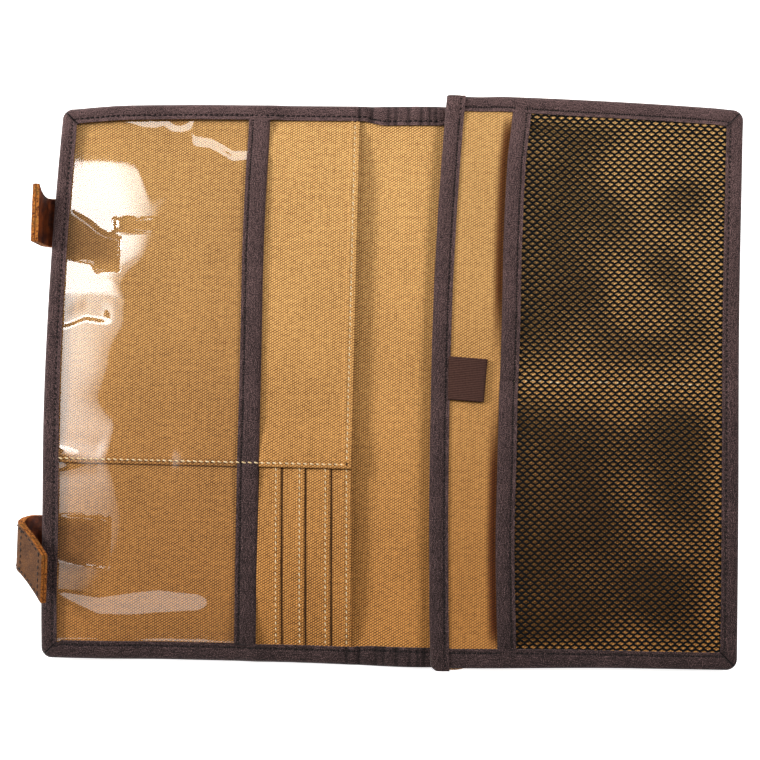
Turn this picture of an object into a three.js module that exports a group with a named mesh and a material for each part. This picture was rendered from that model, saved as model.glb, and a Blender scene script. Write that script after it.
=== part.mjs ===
// Folding canvas logbook case, lying open on its back with the inside up.
// Millimetres. +X runs across the open case to the right, +Y towards its head, +Z up.
// The origin is on the surface under the middle of the open case.
import * as THREE from "three";

// Wall thicknesses and clearance
const CANVAS = 1.0;
const SHELL = 1.4;
const VINYL = 0.5;
const NET = 0.8;
const ELASTIC = 0.8;
const LEATHER = 4.0;
const TAPE = 0.7;
const CLEAR = 0.3;
const CARD_CLEAR = 0.2;
const HEM = 0.8;

// Folded tape: the width that shows on each face, and the rounding of its fold
const TAPE_WIDTH = 10;
const FOLD_ROUND = 1.1;
const BEND = 0.1;
const EDGE_INSET = TAPE + CLEAR;
const LEG_REACH = TAPE_WIDTH + CLEAR - EDGE_INSET;

// Grid on which all the sheets and tapes are sampled, so that neighbours keep their clearance
const X_STEP = 12;
const Y_STEP = 16;
const FLAT_STEP = 80;
const ROW_SPARE = 4;
const GRID_SPARE = 2;

// Outer shell, measured over its binding
const COVER = { left: -182.4, right: 192.5, head: 150.8, foot: -153.6, sideBow: 3.6, bowMiddle: -20 };
const COVER_HEAD = { slope: 0.016, dropFrom: -105, dropSpan: 70, drop: 3.7 };
const COVER_FOOT = { sag: 1.1, sagMiddle: 12, sagSpan: 40, easeFrom: 36, easeTo: 110, ease: 3.0 };
const COVER_CORNER = { outer: 6, inner: 0.8, ease: 2.4, steps: 4 };
const EDGE_LENGTH = 150;

// Left cover: the straps under it lift its outer margin
const LIFT = { height: LEATHER + CLEAR, full: -150, none: -110 };
const SPINE = { from: -10, to: 44, hump: 3.5 };

// Pocket panels of the left cover
const PANEL = { edge: -12.7, cardEdge: -13.7, hemFrom: -18.2, hemSlope: 0.6 };
const PANEL_GAPE = { most: 5.2, from: -170, full: -90 };
const SEWN_REACH = 55;
const SEAM_Y = -49;
const SEAM_LAP = 4.5;
const SEAM_STEP = { low: CANVAS + CLEAR, high: 3.3, lowTo: -64, highFrom: -56, rampTo: -30 };
const CARD_SLOTS = [
  { name: "card_slot_3", edge: -24.4 },
  { name: "card_slot_2", edge: -37.3 },
  { name: "card_slot_1", edge: -50.5 },
];
const CARD = { left: -63.6, hem: 4.5, hemRise: 0.4 };

// Clear window: how far it stands off its panel, from foot to head
const WINDOW = { edge: -65, bow: 1.0, standOff: 1.6, swellFrom: -171, swellFull: -135 };
const WINDOW_SWELL = [
  { y: -112, rise: 4.4 },
  { y: SEAM_Y + 2, rise: 1.6 },
  { y: 48, rise: 4.8 },
];

// Right leaf: a flat canvas pocket front that rises towards its mouth
const LEAF = { mouth: 28.3, mouthBow: 2.2, right: 195, head: 154.7, foot: -153.2 };
const LEAF_HEAD = { dropFrom: 63, dropSpan: 125, drop: 2.6 };
const LEAF_FOOT = { easeFrom: 30, easeTo: 140, ease: 1.9 };
const LEAF_RISE = { mouth: 14.6, right: 6.4 };
const GUSSET = { from: 42.5, bite: 6.0, bulge: 0.5, bulgeMost: 4.4 };

// Net pocket on the leaf: how far it stands off, from foot to head
const NET_MOUTH = { edge: 64.6, bow: 1.6, standOff: CLEAR + TAPE + CLEAR, gapeFull: 95, gapeNone: 183 };
const NET_GAPE = [
  { y: -72, rise: 6.4 },
  { y: 0.5, rise: 0 },
  { y: 74, rise: 6.4 },
];
const TAB = { right: 57, foot: -10.2, head: 11.6, gap: 1.2 };

// Leather straps: where each lies, how it bends up, and how its free end shifts and widens
const STRAPS = [
  {
    name: "strap_upper", y: 82.4, anchor: -146, bendAt: -182.2,
    radius: 4.4, turn: 84, free: 17, shift: 0, flare: 3.6,
  },
  {
    name: "strap_lower", y: -85.2, anchor: -148, bendAt: -187.6,
    radius: 5.4, turn: 140, free: 19, shift: -22, flare: 0,
  },
];
const STRAP = { width: 25.6, shiftPower: 1.5 };
const STRAP_STEPS = { anchor: 4, bend: 10, free: 3 };

const lerp = THREE.MathUtils.lerp;
const smooth = (x, from, to) => THREE.MathUtils.smoothstep(x, from, to);

// Height between the rows of a short table, easing in and out of each row
function along(table, y) {
  const next = table.findIndex((row) => row.y >= y);
  if (next === 0) return table[0].rise;
  if (next < 0) return table.at(-1).rise;
  const [low, high] = [table[next - 1], table[next]];
  const share = (y - low.y) / (high.y - low.y);
  return lerp(low.rise, high.rise, (1 - Math.cos(Math.PI * share)) / 2);
}

// Multiples of a step between two ends, clear of both
function gridBetween(from, to, step, clear = GRID_SPARE) {
  const lines = [];
  for (let k = Math.ceil((from + clear) / step); k * step <= to - clear; k++) {
    lines.push(k * step);
  }
  return lines;
}

// Closed skin through bands: each station is a cross-section, an outer and an inner line of as many points
function loftBands(stations, closed = false) {
  const across = stations[0].outer.length;
  const ring = 2 * across;
  const points = stations.flatMap((station) => [...station.outer, ...station.inner.toReversed()]);
  const faces = [];
  const quad = (a, b, c, d) => faces.push([a, b, c], [a, c, d]);
  const spans = closed ? stations.length : stations.length - 1;
  for (let i = 0; i < spans; i++) {
    const here = i * ring;
    const next = ((i + 1) % stations.length) * ring;
    for (let k = 0; k < ring; k++) {
      const l = (k + 1) % ring;
      quad(here + k, here + l, next + l, next + k);
    }
  }
  if (!closed) {
    const last = (stations.length - 1) * ring;
    for (let k = 0; k < across - 1; k++) {
      const m = ring - 1 - k;
      quad(k, m, m - 1, k + 1);
      quad(last + k, last + k + 1, last + m - 1, last + m);
    }
  }
  const volume = faces.reduce((sum, [a, b, c]) => {
    const [p, q, r] = [points[a], points[b], points[c]];
    return sum + p.dot(new THREE.Vector3().crossVectors(q, r));
  }, 0);
  const outward = volume > 0 ? faces : faces.map(([a, b, c]) => [a, c, b]);
  const geometry = new THREE.BufferGeometry().setFromPoints(points);
  geometry.setIndex(outward.flat());
  geometry.computeVertexNormals();
  return geometry;
}

// Sheet lying between four edges, with its underside and thickness given at each place.
// bound = sewn into a binding at the foot or head, which puts a row at the end of that tape's leg.
function sheet({ left, right, foot, head, under, thick, ...options }) {
  const { columns = [], extraRows = [], rowStep = Y_STEP, bound = "", ease = [0, 0, 0, 0] } = options;
  const ascending = (a, b) => a - b;
  const middleX = (left(0) + right(0)) / 2;
  const spareX = COVER_CORNER.outer + EDGE_INSET;
  const inner = gridBetween(left(0), right(0), X_STEP, spareX).concat(columns).sort(ascending);
  const spare = bound ? LEG_REACH + ROW_SPARE : ROW_SPARE;
  const level = gridBetween(foot(middleX), head(middleX), rowStep, spare).concat(extraRows).sort(ascending);
  const rows = level.map((y) => () => y);
  if (bound.includes("foot")) rows.unshift((x) => foot(x) + LEG_REACH);
  if (bound.includes("head")) rows.push((x) => head(x) - LEG_REACH);
  const [footLeft, footRight, headLeft, headRight] = ease;
  const stations = [];
  for (let i = 0; i <= inner.length + 1; i++) {
    const station = { outer: [], inner: [] };
    for (let j = 0; j <= rows.length + 1; j++) {
      const atLeft = i === 0;
      const atRight = i === inner.length + 1;
      const atFoot = j === 0;
      const atHead = j === rows.length + 1;
      const nominalX = atLeft ? left(0) : atRight ? right(0) : inner[i - 1];
      let y = atFoot ? foot(nominalX) : atHead ? head(nominalX) : rows[j - 1](nominalX);
      let x = atLeft ? left(y) : atRight ? right(y) : nominalX;
      if (atLeft && (atFoot || atHead)) x += atFoot ? footLeft : headLeft;
      if (atRight && (atFoot || atHead)) x -= atFoot ? footRight : headRight;
      if (atFoot && (atLeft || atRight)) y += atLeft ? footLeft : footRight;
      if (atHead && (atLeft || atRight)) y -= atLeft ? headLeft : headRight;
      const low = under(x, y);
      station.inner.push(new THREE.Vector3(x, y, low));
      station.outer.push(new THREE.Vector3(x, y, low + thick(x, y)));
    }
    stations.push(station);
  }
  return loftBands(stations);
}

// Tape folded round an edge: each place has a point on the fold and one at the end of the two legs
function foldedTape(places, over, under, wall = TAPE, closed = false) {
  const stations = places.map(({ fold, leg }) => {
    const width = fold.distanceTo(leg);
    const at = (inset, height) => {
      const p = fold.clone().lerp(leg, inset / width);
      return new THREE.Vector3(p.x, p.y, height(p.x, p.y));
    };
    const top = (drop) => (x, y) => over(x, y) + CLEAR + wall - drop;
    const bottom = (rise) => (x, y) => under(x, y) - CLEAR - wall + rise;
    const round = FOLD_ROUND;
    const outer = [
      at(width, top(0)),
      at(round, top(0)),
      at(0, top(round)),
      at(0, bottom(round)),
      at(round, bottom(0)),
      at(width, bottom(0)),
    ];
    const inner = [
      at(width, top(wall)),
      at(round, top(wall)),
      at(wall, top(wall + BEND)),
      at(wall, bottom(wall + BEND)),
      at(round, bottom(wall)),
      at(width, bottom(wall)),
    ];
    return { outer, inner };
  });
  return loftBands(stations, closed);
}

const point = (x, y) => new THREE.Vector2(x, y);

// One place along a tape: its fold, and its legs reaching inwards along X or Y
function place(x, y, inwardX, inwardY, reach = TAPE_WIDTH) {
  return { fold: point(x, y), leg: point(x + inwardX * reach, y + inwardY * reach) };
}

// Quarter turn of a border round a corner, as fold and leg points; towards = the corner's outward signs
function corner(cornerX, cornerY, towardsX, towardsY, startsOnX) {
  const places = [];
  for (let k = 0; k <= COVER_CORNER.steps; k++) {
    const share = k / COVER_CORNER.steps;
    const turn = (Math.PI / 2) * (startsOnX ? share : 1 - share);
    const [cos, sin] = [Math.cos(turn), Math.sin(turn)];
    const at = (inset, radius) => point(
      cornerX - towardsX * (inset + radius * (1 - cos)),
      cornerY - towardsY * (inset + radius * (1 - sin)),
    );
    places.push({ fold: at(0, COVER_CORNER.outer), leg: at(TAPE_WIDTH, COVER_CORNER.inner) });
  }
  return places;
}

// Edges of the shell over its binding
function coverLeft(y) {
  return COVER.left + COVER.sideBow * ((y - COVER.bowMiddle) / EDGE_LENGTH) ** 2;
}

function coverHead(x) {
  const drop = Math.max(0, (COVER_HEAD.dropFrom - x) / COVER_HEAD.dropSpan) ** 2;
  return COVER.head + COVER_HEAD.slope * Math.min(x, 0) - COVER_HEAD.drop * drop;
}

function coverFoot(x) {
  const sag = Math.exp(-(((x - COVER_FOOT.sagMiddle) / COVER_FOOT.sagSpan) ** 2));
  const ease = smooth(x, COVER_FOOT.easeFrom, COVER_FOOT.easeTo);
  return COVER.foot - COVER_FOOT.sag * sag + COVER_FOOT.ease * ease;
}

// Underside of the shell: lifted over the straps, humped along the spine
function shellUnder(x) {
  const lift = LIFT.height * (1 - smooth(x, LIFT.full, LIFT.none));
  const share = THREE.MathUtils.clamp((x - SPINE.from) / (SPINE.to - SPINE.from), 0, 1);
  return EDGE_INSET + lift + SPINE.hump * Math.sin(Math.PI * share) ** 2;
}

const shellTop = (x) => shellUnder(x) + SHELL;

// Top of everything that the shell's binding holds along the edge
const PANEL_STACK = CLEAR + CANVAS + HEM + BEND;
const WINDOW_STACK = CLEAR + CANVAS + WINDOW.standOff + VINYL;

function boundTop(x) {
  const panels = PANEL_STACK * (1 - smooth(x, PANEL.edge + EDGE_INSET, PANEL.edge + X_STEP));
  const more = WINDOW_STACK - PANEL_STACK;
  const window = more * (1 - smooth(x, WINDOW.edge + EDGE_INSET, WINDOW.edge + X_STEP));
  return shellTop(x) + panels + window;
}

function shellBinding() {
  const { outer } = COVER_CORNER;
  const headLeft = coverHead(COVER.left + 2 * outer);
  const footLeft = coverFoot(COVER.left + 2 * outer);
  const headRight = coverHead(COVER.right);
  const footRight = coverFoot(COVER.right);
  const reach = TAPE_WIDTH + outer;
  const alongX = gridBetween(COVER.left + reach, COVER.right - reach, X_STEP);
  const alongY = gridBetween(footLeft + reach, headLeft - reach, 2 * Y_STEP);
  const places = [
    ...alongX.map((x) => place(x, coverFoot(x), 0, 1)),
    ...corner(COVER.right, footRight, 1, -1, false),
    ...alongY.map((y) => place(COVER.right, y, -1, 0)),
    ...corner(COVER.right, headRight, 1, 1, true),
    ...alongX.toReversed().map((x) => place(x, coverHead(x), 0, -1)),
    ...corner(coverLeft(headLeft - outer), headLeft, -1, 1, false),
    ...alongY.toReversed().map((y) => place(coverLeft(y), y, 1, 0)),
    ...corner(coverLeft(footLeft + outer), footLeft, -1, -1, true),
  ];
  return foldedTape(places, boundTop, shellUnder, TAPE, true);
}

function outerShell() {
  const { ease } = COVER_CORNER;
  return sheet({
    left: (y) => coverLeft(y) + EDGE_INSET,
    right: () => COVER.right - EDGE_INSET,
    foot: (x) => coverFoot(x) + EDGE_INSET,
    head: (x) => coverHead(x) - EDGE_INSET,
    under: shellUnder,
    thick: () => SHELL,
    rowStep: FLAT_STEP,
    ease: [ease, ease, ease, ease],
  });
}

// 0 where a binding holds the layers together, growing to 1 well inside it
function freeOf(foot, head, y) {
  const inside = Math.min(y - foot, head - y) - TAPE_WIDTH - CLEAR;
  return 1 - (1 - THREE.MathUtils.clamp(inside / SEWN_REACH, 0, 1)) ** 3;
}

// How far the left pocket gapes between shell and panel
function pocketGape(x, y) {
  const free = freeOf(coverFoot(x), coverHead(x), y);
  return PANEL_GAPE.most * free * smooth(x, PANEL_GAPE.from, PANEL_GAPE.full);
}

const panelUnder = (x, y) => shellTop(x) + CLEAR + pocketGape(x, y);

// The document panel climbs over the card panel, and higher beside the card slots
function documentUnder(x, y) {
  const step = lerp(SEAM_STEP.low, SEAM_STEP.high, smooth(x, SEAM_STEP.lowTo, SEAM_STEP.highFrom));
  return panelUnder(x, y) + step * (1 - smooth(y, SEAM_Y + SEAM_LAP + CLEAR, SEAM_STEP.rampTo));
}

// Turned hem along the spine side of a panel, doubling its thickness
const hemmed = (x) => CANVAS + (x > PANEL.hemFrom - PANEL.hemSlope / 2 ? HEM : 0);
const hemColumns = [PANEL.hemFrom - PANEL.hemSlope, PANEL.hemFrom];

function documentPanel() {
  return sheet({
    left: (y) => coverLeft(y) + EDGE_INSET,
    right: () => PANEL.edge,
    foot: () => SEAM_Y,
    head: (x) => coverHead(x) - EDGE_INSET,
    under: documentUnder,
    thick: hemmed,
    columns: hemColumns,
    extraRows: [SEAM_Y + SEAM_LAP + CLEAR],
    bound: "head",
    ease: [0, 0, COVER_CORNER.ease, 0],
  });
}

function cardPanel() {
  return sheet({
    left: (y) => coverLeft(y) + EDGE_INSET,
    right: () => PANEL.cardEdge,
    foot: (x) => coverFoot(x) + EDGE_INSET,
    head: () => SEAM_Y + SEAM_LAP,
    under: panelUnder,
    thick: hemmed,
    columns: hemColumns,
    bound: "foot",
    ease: [COVER_CORNER.ease, 0, 0, 0],
  });
}

// Card slots lie one on another, the one beside the window on top
function cardSlot(slot, layer) {
  const hemFrom = slot.edge - CARD.hem;
  const rise = (layer + 1) * (CANVAS + CARD_CLEAR);
  return sheet({
    left: () => CARD.left,
    right: () => slot.edge,
    foot: (x) => coverFoot(x) + TAPE_WIDTH + CLEAR,
    head: () => SEAM_Y - CLEAR,
    under: (x, y) => panelUnder(x, y) + rise,
    thick: (x) => CANVAS + (x > hemFrom - PANEL.hemSlope / 2 ? CARD.hemRise : 0),
    columns: [hemFrom - PANEL.hemSlope, hemFrom],
  });
}

// Clear window over the left half of the left cover
function windowUnder(x, y) {
  const free = freeOf(coverFoot(x), coverHead(x), y);
  const swell = along(WINDOW_SWELL, y) * free * smooth(x, WINDOW.swellFrom, WINDOW.swellFull);
  return panelUnder(x, y) + CANVAS + WINDOW.standOff + swell;
}

const windowEdge = (y) => WINDOW.edge - WINDOW.bow * (1 - (y / EDGE_LENGTH) ** 2);

function clearWindow() {
  return sheet({
    left: (y) => coverLeft(y) + EDGE_INSET,
    right: (y) => windowEdge(y) - EDGE_INSET,
    foot: (x) => coverFoot(x) + EDGE_INSET,
    head: (x) => coverHead(x) - EDGE_INSET,
    under: windowUnder,
    thick: () => VINYL,
    bound: "foot and head",
    ease: [COVER_CORNER.ease, 0, COVER_CORNER.ease, 0],
  });
}

// Straight run of tape along a free edge, between two ends
function mouthTape({ edge, inward, foot, head, over, under }) {
  const rows = [foot, ...gridBetween(foot, head, Y_STEP), head];
  const places = rows.map((y) => place(edge(y), y, inward, 0));
  return foldedTape(places, over, under);
}

function windowTape() {
  const foot = coverFoot(WINDOW.edge) + TAPE_WIDTH + CLEAR;
  const head = coverHead(WINDOW.edge) - TAPE_WIDTH - CLEAR;
  const over = (x, y) => windowUnder(x, y) + VINYL;
  return mouthTape({ edge: windowEdge, inward: -1, foot, head, over, under: windowUnder });
}

// Right leaf: edges over its binding, and its slope
const leafMouth = (y) => LEAF.mouth + LEAF.mouthBow * (y / EDGE_LENGTH) ** 2;

function leafHead(x) {
  return LEAF.head - LEAF_HEAD.drop * Math.max(0, (x - LEAF_HEAD.dropFrom) / LEAF_HEAD.dropSpan) ** 2;
}

function leafFoot(x) {
  return LEAF.foot + LEAF_FOOT.ease * smooth(x, LEAF_FOOT.easeFrom, LEAF_FOOT.easeTo);
}

function leafUnder(x) {
  return lerp(LEAF_RISE.mouth, LEAF_RISE.right, (x - LEAF.mouth) / (LEAF.right - LEAF.mouth));
}

const slipTop = (x) => leafUnder(x) + CANVAS;

function slipPanel() {
  const { ease } = COVER_CORNER;
  return sheet({
    left: (y) => leafMouth(y) + EDGE_INSET,
    right: () => LEAF.right - EDGE_INSET,
    foot: (x) => leafFoot(x) + EDGE_INSET,
    head: (x) => leafHead(x) - EDGE_INSET,
    under: leafUnder,
    thick: () => CANVAS,
    rowStep: FLAT_STEP,
    ease: [0, ease, 0, ease],
  });
}

function slipTape() {
  const [foot, head] = [leafFoot(LEAF.mouth), leafHead(LEAF.mouth)];
  return mouthTape({ edge: leafMouth, inward: 1, foot, head, over: slipTop, under: leafUnder });
}

const NET_STACK = NET_MOUTH.standOff + NET;
const netEdge = (y) => NET_MOUTH.edge + NET_MOUTH.bow * (y / EDGE_LENGTH) ** 2;

function leafBoundTop(x) {
  return slipTop(x) + NET_STACK * smooth(x, NET_MOUTH.edge - X_STEP, NET_MOUTH.edge);
}

// Border of the leaf from the head end of its mouth round to the foot end
function leafBorder(from, inset = 0) {
  const right = LEAF.right - inset;
  const head = (x) => leafHead(x) - inset;
  const foot = (x) => leafFoot(x) + inset;
  const reach = TAPE_WIDTH + COVER_CORNER.outer;
  const alongX = [from, ...gridBetween(from, right - reach, X_STEP)];
  const alongY = gridBetween(foot(right) + reach, head(right) - reach, 2 * Y_STEP);
  return [
    ...alongX.map((x) => place(x, head(x), 0, -1)),
    ...corner(right, head(right), 1, 1, false),
    ...alongY.toReversed().map((y) => place(right, y, -1, 0)),
    ...corner(right, foot(right), 1, -1, true),
    ...alongX.toReversed().map((x) => place(x, foot(x), 0, 1)),
  ];
}

function leafBinding() {
  const from = leafMouth(EDGE_LENGTH) + TAPE_WIDTH + CLEAR;
  return foldedTape(leafBorder(from), leafBoundTop, leafUnder);
}

// Canvas wall that bulges out between the shell's binding and the leaf's binding
function pocketGusset() {
  const places = leafBorder(GUSSET.from, GUSSET.bite - CANVAS);
  const stations = places.map(({ fold, leg }) => {
    const low = shellTop(fold.x) + 2 * CLEAR + TAPE;
    const high = leafUnder(fold.x) - 2 * CLEAR - TAPE;
    const bulge = Math.min(GUSSET.bulgeMost, GUSSET.bulge * (high - low));
    const out = fold.clone().sub(leg).normalize();
    const line = (inset) => [0, 0.25, 0.5, 0.75, 1].map((share) => {
      const p = fold.clone().addScaledVector(out, bulge * Math.sin(Math.PI * share) - inset);
      return new THREE.Vector3(p.x, p.y, lerp(low, high, share));
    });
    return { outer: line(0), inner: line(CANVAS) };
  });
  return loftBands(stations);
}

// Net pocket, drawn here as one thin sheet
function netUnder(x, y) {
  const free = freeOf(leafFoot(x), leafHead(x), y);
  const gape = along(NET_GAPE, y) * free * (1 - smooth(x, NET_MOUTH.gapeFull, NET_MOUTH.gapeNone));
  return slipTop(x) + NET_MOUTH.standOff + gape;
}

function netPocket() {
  const { ease } = COVER_CORNER;
  return sheet({
    left: (y) => netEdge(y) + EDGE_INSET,
    right: () => LEAF.right - EDGE_INSET,
    foot: (x) => leafFoot(x) + EDGE_INSET,
    head: (x) => leafHead(x) - EDGE_INSET,
    under: netUnder,
    thick: () => NET,
    bound: "foot and head",
    ease: [0, ease, 0, ease],
  });
}

function netTape() {
  const foot = leafFoot(NET_MOUTH.edge) + TAPE_WIDTH + CLEAR;
  const head = leafHead(NET_MOUTH.edge) - TAPE_WIDTH - CLEAR;
  const over = (x, y) => netUnder(x, y) + NET;
  return mouthTape({ edge: netEdge, inward: 1, foot, head, over, under: netUnder });
}

// Loop of elastic lying flat on the leaf, folded at its right end
function elasticTab() {
  const left = leafMouth(TAB.head) + TAPE_WIDTH + CLEAR;
  const rows = [TAB.foot, (TAB.foot + TAB.head) / 2, TAB.head];
  const places = rows.map((y) => place(TAB.right, y, -1, 0, TAB.right - left));
  const under = (x) => slipTop(x) + 2 * CLEAR + ELASTIC;
  return foldedTape(places, (x) => under(x) + TAB.gap, under, ELASTIC);
}

// Leather strap: flat under the cover, bent up past its edge, then straight to its free end
function strap({ y, anchor, bendAt, radius, turn, free, shift, flare }) {
  const middle = LEATHER / 2;
  const path = [];
  for (let k = 0; k < STRAP_STEPS.anchor; k++) {
    path.push({ x: lerp(anchor, bendAt, k / STRAP_STEPS.anchor), z: middle, heading: 0 });
  }
  for (let k = 0; k <= STRAP_STEPS.bend; k++) {
    const heading = THREE.MathUtils.degToRad((turn * k) / STRAP_STEPS.bend);
    const x = bendAt - radius * Math.sin(heading);
    path.push({ x, z: middle + radius * (1 - Math.cos(heading)), heading });
  }
  const bendEnd = path.at(-1);
  const [ahead, up] = [-Math.cos(bendEnd.heading), Math.sin(bendEnd.heading)];
  for (let k = 1; k <= STRAP_STEPS.free; k++) {
    const run = (free * k) / STRAP_STEPS.free;
    path.push({ x: bendEnd.x + ahead * run, z: bendEnd.z + up * run, heading: bendEnd.heading });
  }
  const stations = path.map(({ x, z, heading }, k) => {
    const share = Math.max(0, (k - STRAP_STEPS.anchor) / (STRAP_STEPS.bend + STRAP_STEPS.free));
    const centre = y + shift * share ** STRAP.shiftPower;
    const edges = [centre - STRAP.width / 2, centre + STRAP.width / 2 + flare * share];
    const line = (side) => edges.map((edge) => new THREE.Vector3(
      x - side * middle * Math.sin(heading),
      edge,
      z - side * middle * Math.cos(heading),
    ));
    return { outer: line(1), inner: line(-1) };
  });
  return loftBands(stations);
}

const canvas = () => new THREE.MeshStandardMaterial({ color: 0xc2935a, roughness: 0.9, metalness: 0 });
const tape = () => new THREE.MeshStandardMaterial({ color: 0x4c3a38, roughness: 0.85, metalness: 0 });
const leather = () => new THREE.MeshStandardMaterial({ color: 0x6d4022, roughness: 0.6, metalness: 0 });
const elastic = () => new THREE.MeshStandardMaterial({ color: 0x4a322d, roughness: 0.8, metalness: 0 });
const net = () => new THREE.MeshStandardMaterial({ color: 0x2b2422, roughness: 0.8, metalness: 0 });

function vinyl() {
  return new THREE.MeshStandardMaterial({
    color: 0xf4efe6,
    roughness: 0.1,
    metalness: 0,
    transparent: true,
    opacity: 0.25,
  });
}

const logbookCase = new THREE.Group();

function add(name, geometry, material) {
  const mesh = new THREE.Mesh(geometry, material);
  mesh.name = name;
  logbookCase.add(mesh);
}

add("outer_shell", outerShell(), canvas());
add("shell_binding", shellBinding(), tape());
add("document_panel", documentPanel(), canvas());
add("card_panel", cardPanel(), canvas());
CARD_SLOTS.forEach((slot, layer) => add(slot.name, cardSlot(slot, layer), canvas()));
add("clear_window", clearWindow(), vinyl());
add("window_tape", windowTape(), tape());
add("slip_panel", slipPanel(), canvas());
add("slip_tape", slipTape(), tape());
add("leaf_binding", leafBinding(), tape());
add("pocket_gusset", pocketGusset(), canvas());
add("net_pocket", netPocket(), net());
add("net_tape", netTape(), tape());
add("elastic_tab", elasticTab(), elastic());
STRAPS.forEach((row) => add(row.name, strap(row), leather()));

export default logbookCase;
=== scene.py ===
"""Looks of a folding canvas logbook case, lying open on its back with the inside up.

Shapes are worked out in millimetres and set down in metres: +X runs across the open case, +Y to its head.
"""
import math

import bpy
import numpy as np
from mathutils import Matrix, Vector


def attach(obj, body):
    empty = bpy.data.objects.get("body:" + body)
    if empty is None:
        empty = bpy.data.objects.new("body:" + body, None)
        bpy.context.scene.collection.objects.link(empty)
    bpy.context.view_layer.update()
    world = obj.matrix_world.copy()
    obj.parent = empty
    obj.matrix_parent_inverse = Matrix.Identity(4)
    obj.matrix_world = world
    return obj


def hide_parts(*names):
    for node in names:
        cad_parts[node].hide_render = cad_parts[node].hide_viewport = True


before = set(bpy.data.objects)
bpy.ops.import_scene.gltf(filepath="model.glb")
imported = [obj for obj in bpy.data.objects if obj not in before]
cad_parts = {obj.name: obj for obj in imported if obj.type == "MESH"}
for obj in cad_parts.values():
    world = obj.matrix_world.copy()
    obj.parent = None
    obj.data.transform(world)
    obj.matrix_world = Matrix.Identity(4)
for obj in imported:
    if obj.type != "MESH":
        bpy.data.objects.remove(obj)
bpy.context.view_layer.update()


# Outer shell
# One piece of tan waxed canvas forms the back of both covers and the spine between them.
# Two straps under its left margin lift it there, and it humps a little along the spine.
MM = 0.001
CANVAS = 1.0
SHELL = 1.4
TAPE = 0.7
CLEAR = 0.3
EDGE_INSET = TAPE + CLEAR
HIDDEN_INSET = 2.0
EDGE_LENGTH = 150
COVER_LEFT = -181.6
COVER_RIGHT = 192.5
COVER_HEAD = 150.4
COVER_FOOT = -153.1
CORNER_ROUND = 6
LEATHER = 4.0
SEWN_WIDTH = 10
SPINE_LEFT = -10
SPINE_WIDTH = 72
SPINE_RISE = 3.5
EVEN_CELLS = ((0, 1), (0, 1))


def smooth(x, start, end):
    share = np.clip((x - start) / (end - start), 0, 1)
    return share * share * (3 - 2 * share)


def bump_at(x, middle, reach):
    return np.exp(-(((x - middle) / reach) ** 2))


def cover_left(y):
    return COVER_LEFT + 4.6 * ((y + 20) / EDGE_LENGTH) ** 2 + 0.7 * bump_at(y, -78, 40)


def cover_head(x):
    drop = np.maximum(0, (-105 - x) / 70) ** 2
    return COVER_HEAD + 0.4 * smooth(x, -140, -100) + 0.016 * np.minimum(x, 0) - 4.3 * drop


def cover_foot(x):
    return COVER_FOOT - 0.7 - 1.1 * bump_at(x, 12, 40) + 3.0 * smooth(x, 36, 110)


def sewn_left(y):
    return cover_left(y) + HIDDEN_INSET


def sewn_foot(x):
    return cover_foot(x) + HIDDEN_INSET


def sewn_head(x):
    return cover_head(x) - HIDDEN_INSET


def shell_under(x):
    lift = (LEATHER + CLEAR) * (1 - smooth(x, -150, -110))
    hump = np.sin(math.pi * np.clip((x - SPINE_LEFT) / SPINE_WIDTH, 0, 1)) ** 2
    return EDGE_INSET + lift + SPINE_RISE * hump


def shell_top(x):
    return shell_under(x) + SHELL


def ripple(x, y, seed, height, shortest=35, longest=90):
    """Low waves of soft cloth: a few sine waves of drawn lengths that cross in drawn directions."""
    draw = np.random.default_rng(seed)
    total = 0
    for _ in range(6):
        length = draw.uniform(shortest, longest)
        heading = draw.uniform(0, math.pi)
        start = draw.uniform(0, math.tau)
        run = x * math.cos(heading) + y * math.sin(heading)
        total = total + np.sin(math.tau * run / length + start)
    return height * total / 6


def free_of(foot, head, y, reach=55):
    """0 where a binding holds the layers together, growing to 1 well inside it."""
    inside = np.minimum(y - foot, head - y) - SEWN_WIDTH - CLEAR
    return 1 - (1 - np.clip(inside / reach, 0, 1)) ** 3


def cover_free(x, y, reach=55):
    return free_of(cover_foot(x), cover_head(x), y, reach)


def cover_wave(x, y):
    """Waves that the shell and all the layers on it share."""
    return ripple(x, y, seed=3, height=0.35) * cover_free(x, y) * smooth(x, -172, -140)


def rounded(x, y, edges, radius=CORNER_ROUND):
    """Pulls the corners of a sheet in to the round of its binding. edges = left, right, foot, head there."""
    left, right, foot, head = edges
    near_x = np.where(x < (left + right) / 2, left + radius - x, x - right + radius)
    near_y = np.where(y < (foot + head) / 2, foot + radius - y, y - head + radius)
    far = np.hypot(near_x, near_y)
    corner = (near_x > 0) & (near_y > 0) & (far > radius)
    pull = np.where(corner, 1 - radius / np.maximum(far, radius), 0)
    side_x = np.where(x < (left + right) / 2, 1, -1)
    side_y = np.where(y < (foot + head) / 2, 1, -1)
    return x + side_x * pull * near_x, y + side_y * pull * near_y


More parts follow.
